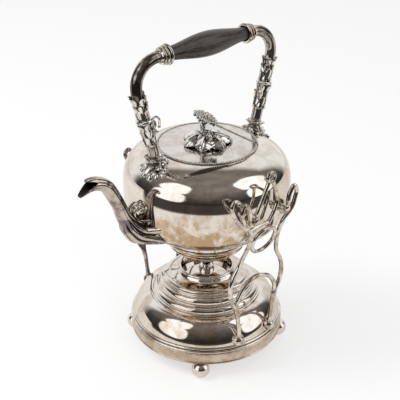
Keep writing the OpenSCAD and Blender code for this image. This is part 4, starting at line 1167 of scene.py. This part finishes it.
# %% [markdown]
# ## The finial
# Seven grape leaves droop from the finial's foot onto the lid, and seven small ones stand between
# them. Each is one sheet: a midrib that stands up, side veins, a toothed edge that turns down, and a
# pointed tip. Their oxide and painted shade sit between the veins. The sheet's underside is the same
# grid moved inwards.


# %% A drooping leaf
def two_sided(face, back, face_depth, back_depth):
    """The points, faces and depths of a closed sheet, from two grids of points."""
    rows, columns = face.shape[:2]
    points = np.concatenate([face, back[:, ::-1]], axis=1).reshape(-1, 3)
    depths = np.concatenate([face_depth, np.full_like(face_depth, back_depth)], axis=1).ravel()
    return points, capped_faces(rows, 2 * columns), depths


def leaf(turn_deg, length, width, drop, top, root=3.5, lift=0.0):
    """A leaf whose midrib runs out from the axis and curves down to its tip."""
    u, v = np.linspace(0, 1, 40)[:, None], np.linspace(-1, 1, 31)[None, :]
    teeth = 0.95 + 0.16 * np.abs(np.sin(math.pi * 4.5 * u))
    half = width * np.sin(math.pi * np.clip(0.10 + 0.9 * u, 0, 1) ** 0.95) ** 0.75 * teeth + 0.25
    bend, fold = np.radians(96 * u), np.abs(v)
    r = root + (length - root) * np.sin(bend)
    z = top - drop * (1 - np.cos(bend)) + lift * u**6
    vein = np.abs(np.sin(math.pi * (2.5 * u + 1.1 * fold)))
    ridge = 0.9 * np.exp(-(fold / 0.09) ** 2) + 0.25 * vein * fold**0.5
    edge_bead = 0.8 * np.exp(-((fold - 0.92) / 0.08) ** 2) * (0.55 + 0.45 * np.sin(math.pi * 13 * u))
    stand = ridge + edge_bead - 0.62 * half * fold**2.2
    out, up = np.sin(bend * 0.9), np.cos(bend * 0.9)
    face = np.stack([r + stand * out, v * half, z + stand * up], axis=2)
    back = np.stack([r + (stand - 0.9) * out, v * half * 0.97, z + (stand - 0.9) * up], axis=2)
    shade = (0.6 * np.exp(-((fold - 0.17) / 0.06) ** 2) + 0.75 * np.exp(-((fold - 0.80) / 0.07) ** 2)
             + 0.5 * (1 - vein) ** 2 * fold**0.5 + 0.8 * (u < 0.12))
    points, faces, depths = two_sided(face, back, shade, 0.3)
    a = math.radians(turn_deg)
    spin = np.array([[math.cos(a), math.sin(a), 0], [-math.sin(a), math.cos(a), 0], [0, 0, 1]])
    return points @ spin, faces, depths


# %% The rosette
LEAVES = 7
rosette_top, leaf_step = lid_top + 11.2, 360 / LEAVES
leaves = [leaf(leaf_step * k + 12, 26.0, 9.9, 10.6, rosette_top, lift=0.6) for k in range(LEAVES)]
for points, _, _ in leaves:
    points[:, 2] = np.maximum(points[:, 2], lid_top + 0.25)
leaves += [leaf(leaf_step * (k + 0.5) + 12, 15.0, 4.6, 4.4, rosette_top + 0.8, 2.0)
           for k in range(LEAVES)]
button = turned("rosette_button", [(2.2, lid_top + 0.3), (4, lid_top + 0.3), (4, lid_top + 8)]
                + arc((4.6, rosette_top - 0.5), (2.0, rosette_top + 1.6), 8), steps=48)
rosette = joined("finial_rosette", [gathered("rosette_leaves", leaves), button])
finish_piece(rosette, "lid", "cast silver", "finial_leaves")
print("rosette:", len(leaves), "leaves")

# %% [markdown]
# ### The flower
# A short neck leans out of the rosette and opens into a head packed with small florets, like a
# cauliflower. Geometry Nodes lay the florets out as a sunflower lays its seeds: each one turned by the
# golden angle, with a seeded change of size.

# %% Florets
HEAD_R, HEAD_DOME, GOLDEN_ANGLE = 12.5, 3.5, 2.399963


def floret_tree(material):
    tree, given, results = geometry_tree("floret head", [
        ("Count", WHOLE, 44), ("Radius", NUMBER, HEAD_R * MM), ("Dome", NUMBER, HEAD_DOME * MM),
        ("Floret", NUMBER, 0.0021)])
    index = wired(tree, "GeometryNodeInputIndex").outputs[0]
    share = figured(tree, "DIVIDE", figured(tree, "ADD", index, 0.5), given["Count"])
    r = figured(tree, "MULTIPLY", figured(tree, "POWER", share, 0.5), given["Radius"])
    z = figured(tree, "SUBTRACT", given["Dome"], figured(tree, "MULTIPLY", share, given["Dome"]))
    points = points_at(tree, given["Count"], r, figured(tree, "MULTIPLY", index, GOLDEN_ANGLE), z)
    bud = {"Radius": given["Floret"], "Subdivisions": 3}
    bud = wired(tree, "GeometryNodeMeshIcoSphere", bud).outputs["Mesh"]
    crinkle = wired(tree, "ShaderNodeTexNoise", {"Scale": 900.0, "Detail": 1.0}).outputs[0]
    lift = figured(tree, "MULTIPLY_ADD", crinkle, 0.0018, -0.0009)
    outward = wired(tree, "GeometryNodeInputNormal").outputs[0]
    push = wired(tree, "ShaderNodeVectorMath", {0: outward, "Scale": lift}, operation="SCALE")
    lumpy = wired(tree, "GeometryNodeSetPosition", {"Geometry": bud, "Offset": push.outputs[0]})
    size = wired(tree, "FunctionNodeRandomValue", {2: 0.7, 3: 1.35, 8: 4}, data_type="FLOAT")
    close_tree(tree, results, material, points, lumpy.outputs[0], Scale=size.outputs[1])
    return tree


# %% The flower
lean = Matrix.Rotation(math.radians(-40), 4, "Z") @ Matrix.Rotation(math.radians(-56), 4, "Y")
head_turn = (Matrix.Translation((0, 0, lid_top + 16.05)) @ lean @ Matrix.Translation((0, 0, 5.93))
             @ Matrix.Rotation(math.radians(56 + 24), 4, "Y"))
florets = grown("florets", floret_tree(FINISHES["cast silver"]))
spots = np.array([v.co[:] for v in florets.data.vertices]) / MM
dome_under = HEAD_DOME * (1 - (np.hypot(spots[:, 0], spots[:, 1]) / HEAD_R) ** 2)
# Florets are darker the deeper they lie between their neighbours: oxide and painted shade.
set_hollow(florets, 0.95 - (spots[:, 2] - dome_under) / 1.9)
move(florets, head_turn @ Matrix.Translation((0, 0, 8.2)))
cup_side = smooth([(1.7, -0.5), (2.4, 2), (4.2, 5.0), (7.0, 7.6), (10.9, 9.2), (12.4, 10.0)], 5)
cup = turned("flower_cup", cup_side.tolist() + [(11.5, 10.3), (6, 10.8), (0, 11), (0, -0.5)],
             head_turn, 56, 60)
# The cup under the head is written half deep: oxide and painted shade.
set_hollow(cup, 0.62)
neck_tip = head_turn @ Vector((0, 0, 1.5))
stem_start = Vector((-3.4, 2.9, rosette_top - 1.5))
stem_path = smooth([tuple(p) for p in (stem_start, stem_start + Vector((0, 0, 3)),
                                       stem_start.lerp(neck_tip, 0.6), neck_tip)], 8)
stem = set_hollow(drawn("flower_stem", stem_path, np.linspace(1.3, 3.6, len(stem_path)), 20), 0.5)
stem_foot = turned("stem_foot", [
    (0, rosette_top - 1), (3.0, rosette_top - 0.6), (2.8, rosette_top + 1.0), (1.8, rosette_top + 2.0),
    (0, rosette_top + 2.2)], Matrix.Translation((stem_start.x, stem_start.y, 0)), 40)
stud = turned("finial_stud", [(0, seat_z - 4), (1.6, seat_z - 4), (2, seat_z - 3.6),
                              (2, lid_top + 15), (0, lid_top + 15)], steps=32)
flower = joined("finial_flower_cast", [cup, stem, stem_foot, stud, florets])
finish_piece(flower, "lid", "cast silver", "finial_flower")
print("flower:", len(flower.data.polygons), "faces")

# %% [markdown]
# ## The handle's tubes
# From each ferrule a drawn tube bends down and runs straight to a collar on the shoulder. Both arms are
# alike, so every piece is made for the far end and mirrored for the spout's end.

# %% The handle's lines
grip_z = (low("handle_grip").z + high("handle_grip").z) / 2
grip_half, arm_r, bend_r = high("handle_grip").x, 5.8, 26.0
bend_x, bend_z = grip_half + 13.5, grip_z - bend_r
mount_x = body_r - 20
shoulder_at_mount = body_z + shoulder_full * round_off(mount_x / body_r, SHOULDER_POWER)
arm_foot = Vector((mount_x, 0, shoulder_at_mount + 10))
to_foot = (mount_x - bend_x, bend_z - arm_foot.z)
arm_lean = math.asin(bend_r / math.hypot(*to_foot)) - math.atan2(*to_foot)
arm_top = Vector((bend_x + bend_r * math.cos(arm_lean), 0, bend_z - bend_r * math.sin(arm_lean)))
arm_l = (arm_top - arm_foot).length
along_arm = Matrix.Translation(arm_foot) @ Matrix.Rotation(arm_lean, 4, "Y")
to_x = Matrix.Rotation(math.radians(90), 4, "Y")


def both_ends(make, name, finish, node):
    """A piece for the rear end of the handle, and its mirror image for the spout's end."""
    rear = make("rear_" + name)
    front = mirrored("front_" + name, rear, 0)
    finish_piece(rear, "kettle", finish, "rear_" + node)
    finish_piece(front, "kettle", finish, "front_" + node)


def arm_tube(name):
    bend = [(bend_x + bend_r * math.cos(a), 0, bend_z + bend_r * math.sin(a))
            for a in np.linspace(math.pi / 2, -arm_lean, 40)]
    straight = [tuple(arm_top.lerp(arm_foot, s)) for s in np.linspace(0.03, 0.965, 20)]
    return drawn(name, [(bend_x - 1, 0, grip_z)] + bend + straight, arm_r, 48)


def ferrule(name):
    profile = [(0, 0), (8.2, 0)]
    for r, z, size in ((9.1, 1.7, 1.45), (8.5, 5.5, 1.15), (7.7, 8.9, 1.1)):
        profile += [(6.9, z - size - 0.25)] + bead(r, z, size, -90, 90, 14) + [(6.9, z + size + 0.25)]
    profile += [(6.7, 11.0)] + arc((6.7, 11.4), (6.0, 13.2), 6) + [(0, 13.2)]
    return turned(name, profile, Matrix.Translation((grip_half + 0.05, 0, grip_z)) @ to_x, 96, 40)


def foot_collar(name):
    profile = [(0, -2.25), (5.8, -2.25)] + bead(arm_r, 0, 2.3, -80, 80, 16) + [(5.8, 2.3), (0, 2.3)]
    return turned(name, profile, along_arm, 80)


both_ends(arm_tube, "arm_tube", "arm plate", "handle_arm")
both_ends(ferrule, "ferrule_turned", "bright wire", "ferrule")
both_ends(foot_collar, "collar_turned", "bright wire", "handle_collar")
print("arms", round(arm_l, 1), "mm long, leaning", round(math.degrees(arm_lean), 1), "degrees")

# %% [markdown]
# ## Acanthus foliage
# Two cast sleeves wrap each arm, and a larger mount spreads over the shoulder. Both are bunches of
# petals. One petal is a closed sheet on a small grid, with a rib, cupped sides and a flaring tip. Rings
# of petals stand round the arm, each a little uneven by a fixed seed. What lies deep between them is
# written as hollow, so oxide and painted shade gather there and the backs stay polished.

# %% A petal
PETAL_U, PETAL_V = np.linspace(0, 1, 16)[:, None], np.linspace(-1, 1, 11)[None, :]


def petal(length, width, cup, flare, thick=1.1):
    """A blunt petal lying along +X, seen from +Z: points, faces, and how deep each point lies."""
    u, v = PETAL_U, PETAL_V
    half = width * (0.55 + 0.45 * np.sin(math.pi * (0.9 * u - 0.12))) * np.sqrt(1.02 - u**5)
    rib = 0.35 * np.exp(-(v / 0.18) ** 2)
    up = cup * half * v**2 + flare * u**2.2 + rib - 0.25 * width * u**7
    face = np.stack([length * u + 0 * v, half * v, up], axis=2)
    shade = 0.95 * (1 - u) ** 2.5 + 0.45 * np.abs(v) ** 6
    return two_sided(face, face - np.array([0, 0, thick]), shade, 0.35)


def ring_of_petals(rng, count, r, z, lean, size, cup, flare, spin=0.0, hanging=False):
    """Petals round the +Z axis. A lean of 0 points up, 90 points out, 180 points down."""
    made = []
    for k in range(count):
        a = spin + 2 * math.pi * (k + rng.uniform(-0.13, 0.13)) / count
        tip_lean = math.radians(lean + rng.uniform(-6, 6))
        grow = rng.uniform(0.85, 1.15)
        out, up = Vector((math.cos(a), math.sin(a), 0)), Vector((0, 0, 1))
        along = out * math.sin(tip_lean) + up * math.cos(tip_lean)
        seen = out * math.cos(tip_lean) - up * math.sin(tip_lean)
        seen = -seen if hanging else seen
        turn = Matrix((along, seen.cross(along), seen)).transposed().to_4x4()
        turn = turn @ Matrix.Rotation(rng.uniform(-0.25, 0.25), 4, "X")
        turn.translation = out * r + up * z
        points, faces, depths = petal(size[0] * grow, size[1] * grow, cup, flare * grow)
        made.append((placed(points, turn), faces, depths))
    return made


# %% The sleeves
SLEEVE_L, SLEEVE_GAP = 26.5, 3
sleeve_low = arm_l - 2 * SLEEVE_L - SLEEVE_GAP


def sleeve(seed):
    """One bud-like sleeve standing on z = 0 round the arm."""
    rng = np.random.default_rng(seed)
    petals = ring_of_petals(rng, 5, 6.6, 7.0, 174, (7.0, 3.0), -0.3, 0.4, 0.2, hanging=True)
    petals += ring_of_petals(rng, 5, 6.7, 2.0, 1, (12.5, 3.6), -0.42, 0.9, 0.6)
    petals += ring_of_petals(rng, 5, 6.9, 9.0, 2, (11.5, 3.5), -0.42, 1.0, 0.0)
    petals += ring_of_petals(rng, 6, 6.8, 16.0, 3, (10.5, 3.0), -0.42, 2.0, 0.7)
    core_profile = [(5.5, 0.5), (6.2, 1.5), (6.5, 8), (6.4, 18), (6.1, 24), (5.5, 24.5)]
    core = turned("core", core_profile, steps=40)
    # The core under the petals is written nearly fully deep: oxide and painted shade in the gaps.
    return [gathered("sleeve", petals), set_hollow(core, 0.9)]


def both_sleeves(name):
    """Two sleeves, the ring between them and the small hook that stands out of it."""
    pieces = []
    for k in range(2):
        stand_on = along_arm @ Matrix.Translation((0, 0, sleeve_low + k * (SLEEVE_L + SLEEVE_GAP)))
        for piece in sleeve(5 + k):
            move(piece, stand_on)
            pieces.append(piece)
    ring_at = along_arm @ Matrix.Translation((0, 0, sleeve_low + SLEEVE_L + SLEEVE_GAP / 2))
    ring_profile = [(5.5, -1.9), (6.6, -1.9)] + bead(6.9, 0, 1.7, -80, 80, 12) + [(6.6, 1.9), (5.5, 1.9)]
    hook = [(7.0, -4.0), (8.4, -0.6), (10.8, 1.6), (13.4, 1.2), (14.6, -2.2), (13.6, -6.4), (12.8, -9.6)]
    hook = [tuple(ring_at @ Vector((-0.76 * r, -0.65 * r, z))) for r, z in hook]
    return joined(name, pieces + [turned("sleeve_ring", ring_profile, ring_at, 72),
                                  drawn("hook", smooth(hook, 8), 1.25, 12),
                                  ball_at("hook_ball", hook[-1], 1.8, steps=20)])


both_ends(both_sleeves, "foliage", "cast silver", "foliage_sleeves")
print("foliage sleeves on both arms")

# %% [markdown]
# ### The mounts
# Each mount is a burst of cupped petals from under the collar, folded down over the shoulder. Every
# point that would pass through the kettle's wall is drawn back onto it, in the form of a cushion.


# %% The mounts
def over_shoulder(points):
    """Keeps a mount's petals on the kettle as round cushions, and clear of the lid's rope border."""
    cushion = np.sqrt(1.001 - PETAL_V**2) * np.sin(math.pi * (0.08 + 0.84 * PETAL_U)) ** 0.6
    cushion = 0.8 + 2.3 * cushion
    lift = np.concatenate([cushion, np.full_like(cushion, -0.5)], axis=1).ravel()
    lift = np.tile(lift, len(points) // len(lift))
    middle = np.array([0, 0, body_z])
    skin = onto_skin(points, np.zeros(len(points)))
    height = np.linalg.norm(points - middle, axis=1) - np.linalg.norm(skin - middle, axis=1)
    points = np.where((height < lift)[:, None], onto_skin(points, lift), points)
    r, clear = np.hypot(points[:, 0], points[:, 1]), rope_ring_r + 2.2
    grow = np.where((points[:, 2] < lid_top + 2.5) & (r < clear), clear / np.maximum(r, 1), 1)
    return points * np.stack([grow, grow, np.ones_like(grow)], axis=1)


def leafy_mount(name):
    rng = np.random.default_rng(9)
    middle = along_arm @ Matrix.Translation((0, 0, -4))
    petals = ring_of_petals(rng, 7, 5.4, 1.0, 40, (6.5, 2.9), -0.3, 1.2, 0.1)
    for count, r, z, lean, size, spin in ((8, 5.0, 0.0, 92, (8.0, 3.2), 0.4),
                                          (9, 6.2, -3.0, 108, (9.5, 3.2), 0.1),
                                          (10, 8.0, -7.0, 120, (10.0, 3.2), 0.3)):
        petals += ring_of_petals(rng, count, r, z, lean, size, -0.4, -0.6, spin, hanging=True)
    petals = [(placed(points, middle), faces, depths) for points, faces, depths in petals]
    core_profile = [(0, -18), (11.5, -15), (11.0, -8), (8.0, -2), (6.4, 1.5), (0, 1.5)]
    core = turned("mount_core", core_profile, middle, 48)
    # The mount's core under its petals is written deep: oxide and painted shade in the gaps.
    return joined(name, [gathered("mount", petals, over_shoulder), set_hollow(core, 0.8)])


both_ends(leafy_mount, "leafy_mount", "cast silver", "handle_mount")
print("a mount under both arms")

# %% [markdown]
# ## The ebony grip
# The grip swells in the middle so that it fills the hand and stays cool. It is turned, so it is a lathe
# profile again, with ends that just enter the ferrules.

# %% The grip
ROD_HOLE_R = 2.56
grip_side = [(7.0 + 5.5 * math.sin(math.pi * s) ** 1.7, 2 * grip_half * s)
             for s in np.linspace(0, 1, 90)]
grip = turned("ebony_grip", [(ROD_HOLE_R, 0)] + grip_side + [(ROD_HOLE_R, 2 * grip_half)],
              Matrix.Translation((-grip_half, 0, grip_z)) @ to_x, 128)
finish_piece(grip, "kettle", "ebony", "handle_grip")
print("grip:", round(2 * grip_half, 1), "mm long")

# %% [markdown]
# ## The solids that stay
# The lid's plate, the fixed part behind its hinge, the hinge and the nut are flat or plain work whose
# solids are already right. They only need their finish.

# %% Finishes for the solids that stay
KEPT = {"lid_plate": "lid plate", "fixed_lid_segment": "lid plate", "lid_rim_flange": "lid plate",
        "body_hinge_knuckles": "satin silver", "lid_hinge_knuckles": "satin silver",
        "finial_nut": "bright wire", "hinge_pin": "steel", "grip_rod": "steel"}
for node, finish in KEPT.items():
    for slot_place in bpy.data.objects[node].material_slots:
        slot_place.material = FINISHES[finish]
print("solids kept:", ", ".join(KEPT))

# %% [markdown]
# ## Floor, room and lamps
# Polished silver shows its room, so the room matters more than the lamps. The camera sees a plain pale
# floor and backdrop. In reflections the side behind the camera is a dim studio with four soft boxes,
# two on each hand, one above the other. Everything else is white paper, and the paper on the floor ends
# where that studio begins.

# %% The floor
FACING, RIGHTWARDS = (-0.6495, -0.7604, 0), (0.7604, -0.6495, 0)
FLOOR_HALF, PAPER_END = 9, (0.50, 0.56)
floor_mesh = bpy.data.meshes.new("floor")
floor_corners = [(x * FLOOR_HALF, y * FLOOR_HALF, 0) for x, y in ((-1, -1), (1, -1), (1, 1), (-1, 1))]
floor_mesh.from_pydata(floor_corners, [], [(0, 1, 2, 3)])
new_object("floor", floor_mesh)
paper = bpy.data.materials.new("paper floor")
paper.use_nodes = True
tree = paper.node_tree
tree.nodes.clear()


def along(tree, vector, direction):
    """How far a vector reaches along a direction."""
    return wired(tree, "ShaderNodeVectorMath", {0: vector, 1: direction},
                 operation="DOT_PRODUCT").outputs["Value"]


def glowing(color, strength):
    return wired(tree, "ShaderNodeEmission", {"Color": color + (1,), "Strength": strength}).outputs[0]


def between(factor, a, b):
    """A mix of two shaders."""
    return wired(tree, "ShaderNodeMixShader", {0: factor, 1: a, 2: b}).outputs[0]


rays = tree.nodes.new("ShaderNodeLightPath").outputs
matt = wired(tree, "ShaderNodeBsdfDiffuse", {"Color": (0.90, 0.90, 0.90, 1)}).outputs[0]
spot_on_floor = object_place(tree)
far = wired(tree, "ShaderNodeVectorMath", {0: spot_on_floor}, operation="LENGTH").outputs["Value"]
studio_side = figured(tree, "MULTIPLY", ramped(tree, far, *PAPER_END),
                      ramped(tree, along(tree, spot_on_floor, FACING), 0.0, 0.12))
# What the silver sees of the floor is a painted reflection: a warm beige glow over the paper, and a dark
# glow where the studio begins.
in_silver = between(studio_side, between(0.6, matt, glowing((0.86, 0.79, 0.70), 0.95)),
                    glowing((0.065, 0.058, 0.052), 1.0))
surface = between(rays["Is Camera Ray"], between(rays["Is Glossy Ray"], matt, in_silver),
                  between(0.62, matt, glowing((1, 1, 1), 0.97)))
tree.links.new(surface, tree.nodes.new("ShaderNodeOutputMaterial").inputs["Surface"])
floor_mesh.materials.append(paper)
print("floor:", 2 * FLOOR_HALF, "m across")

# %% [markdown]
# ### The room in the reflections
# The world's colour depends on direction. Azimuth is measured from the direction that faces the
# spout's side of the studio, so the dim part and its soft boxes stay where they are in every view.

# %% Directions in the room
world = bpy.data.worlds.new("studio room")
bpy.context.scene.world = world
world.use_nodes = True
room_tree = world.node_tree
room_tree.nodes.clear()
look = room_tree.nodes.new("ShaderNodeTexCoord").outputs["Generated"]


def turned_by(operation, *values):
    """An angle in degrees from a function that gives radians."""
    return figured(room_tree, "MULTIPLY", figured(room_tree, operation, *values), 180 / math.pi)


facing, rightwards, upwards = (along(room_tree, look, way) for way in (FACING, RIGHTWARDS, (0, 0, 1)))
azimuth, elevation = turned_by("ARCTAN2", rightwards, facing), turned_by("ARCSINE", upwards)
climb = turned_by("ARCTAN2", upwards, facing)


def window(value, centre, half, soft):
    """1 within half of a centre, falling to 0 over a soft edge."""
    away = figured(room_tree, "ABSOLUTE", figured(room_tree, "SUBTRACT", value, centre))
    return figured(room_tree, "SUBTRACT", 1.0, ramped(room_tree, away, half - soft, half + soft))


def soft_box(turn, height, half_turn, half_height):
    """A bright rounded patch about an azimuth and an elevation."""
    parts = []
    for value, centre, half in ((azimuth, turn, half_turn), (elevation, height, half_height)):
        away = figured(room_tree, "DIVIDE", figured(room_tree, "SUBTRACT", value, centre), half)
        parts.append(figured(room_tree, "POWER", figured(room_tree, "ABSOLUTE", away), 3.0))
    edge = ramped(room_tree, figured(room_tree, "ADD", *parts), 0.8, 1.25)
    return figured(room_tree, "SUBTRACT", 1.0, edge)


# %% The room
# Azimuth and elevation of each soft box, and half of its width and height, in degrees.
SOFT_BOXES = ((-54, 18, 24, 17), (-56, 49, 26, 16), (80, 18, 23, 17), (84, 49, 27, 16))
overhead = figured(room_tree, "MULTIPLY", window(climb, 50, 72, 6), window(rightwards, 0.08, 0.62, 0.15))
walls = figured(room_tree, "MULTIPLY", window(azimuth, 8.5, 121.5, 9), window(elevation, 20, 57, 4))
dim = figured(room_tree, "MAXIMUM", walls, overhead)
boxes = soft_box(*SOFT_BOXES[0])
for box in SOFT_BOXES[1:]:
    boxes = figured(room_tree, "MAXIMUM", boxes, soft_box(*box))
haze = figured(room_tree, "MULTIPLY", noise(room_tree, look, 2.4, 6, 0.65),
               ramped(room_tree, elevation, -12, 62))
dark = mixed(room_tree, haze, (0.014, 0.013, 0.013, 1), (0.44, 0.40, 0.36, 1))
room = mixed(room_tree, dim, (0.96, 0.955, 0.95, 1), dark)
room = mixed(room_tree, boxes, room, (1.35, 1.35, 1.35, 1))
rays = room_tree.nodes.new("ShaderNodeLightPath").outputs
backdrop = mixed(room_tree, rays["Is Camera Ray"], (0.82, 0.82, 0.82, 1), (1, 1, 1, 1))
backdrop = mixed(room_tree, rays["Is Glossy Ray"], backdrop, room)
backdrop = wired(room_tree, "ShaderNodeBackground", {"Color": backdrop}).outputs[0]
room_tree.links.new(backdrop, room_tree.nodes.new("ShaderNodeOutputWorld").inputs["Surface"])
print("room:", len(SOFT_BOXES), "soft boxes")


# %% The lamps
def lamp(name, place, size, watts):
    """A round lamp aimed at the kettle, which the silver doesn't mirror."""
    data = bpy.data.lights.new(name, "AREA")
    data.shape, data.size, data.energy = "DISK", size, watts
    made = new_object(name, data)
    made.visible_glossy = False
    aim(made, place, (0, 0, 0.15))


lamp("key", (-1.0, 0.7, 1.5), 0.9, 16)
lamp("fill", (-0.2, -1.6, 1.1), 1.2, 6)
print("lamps:", ", ".join(light.name for light in bpy.data.lights))
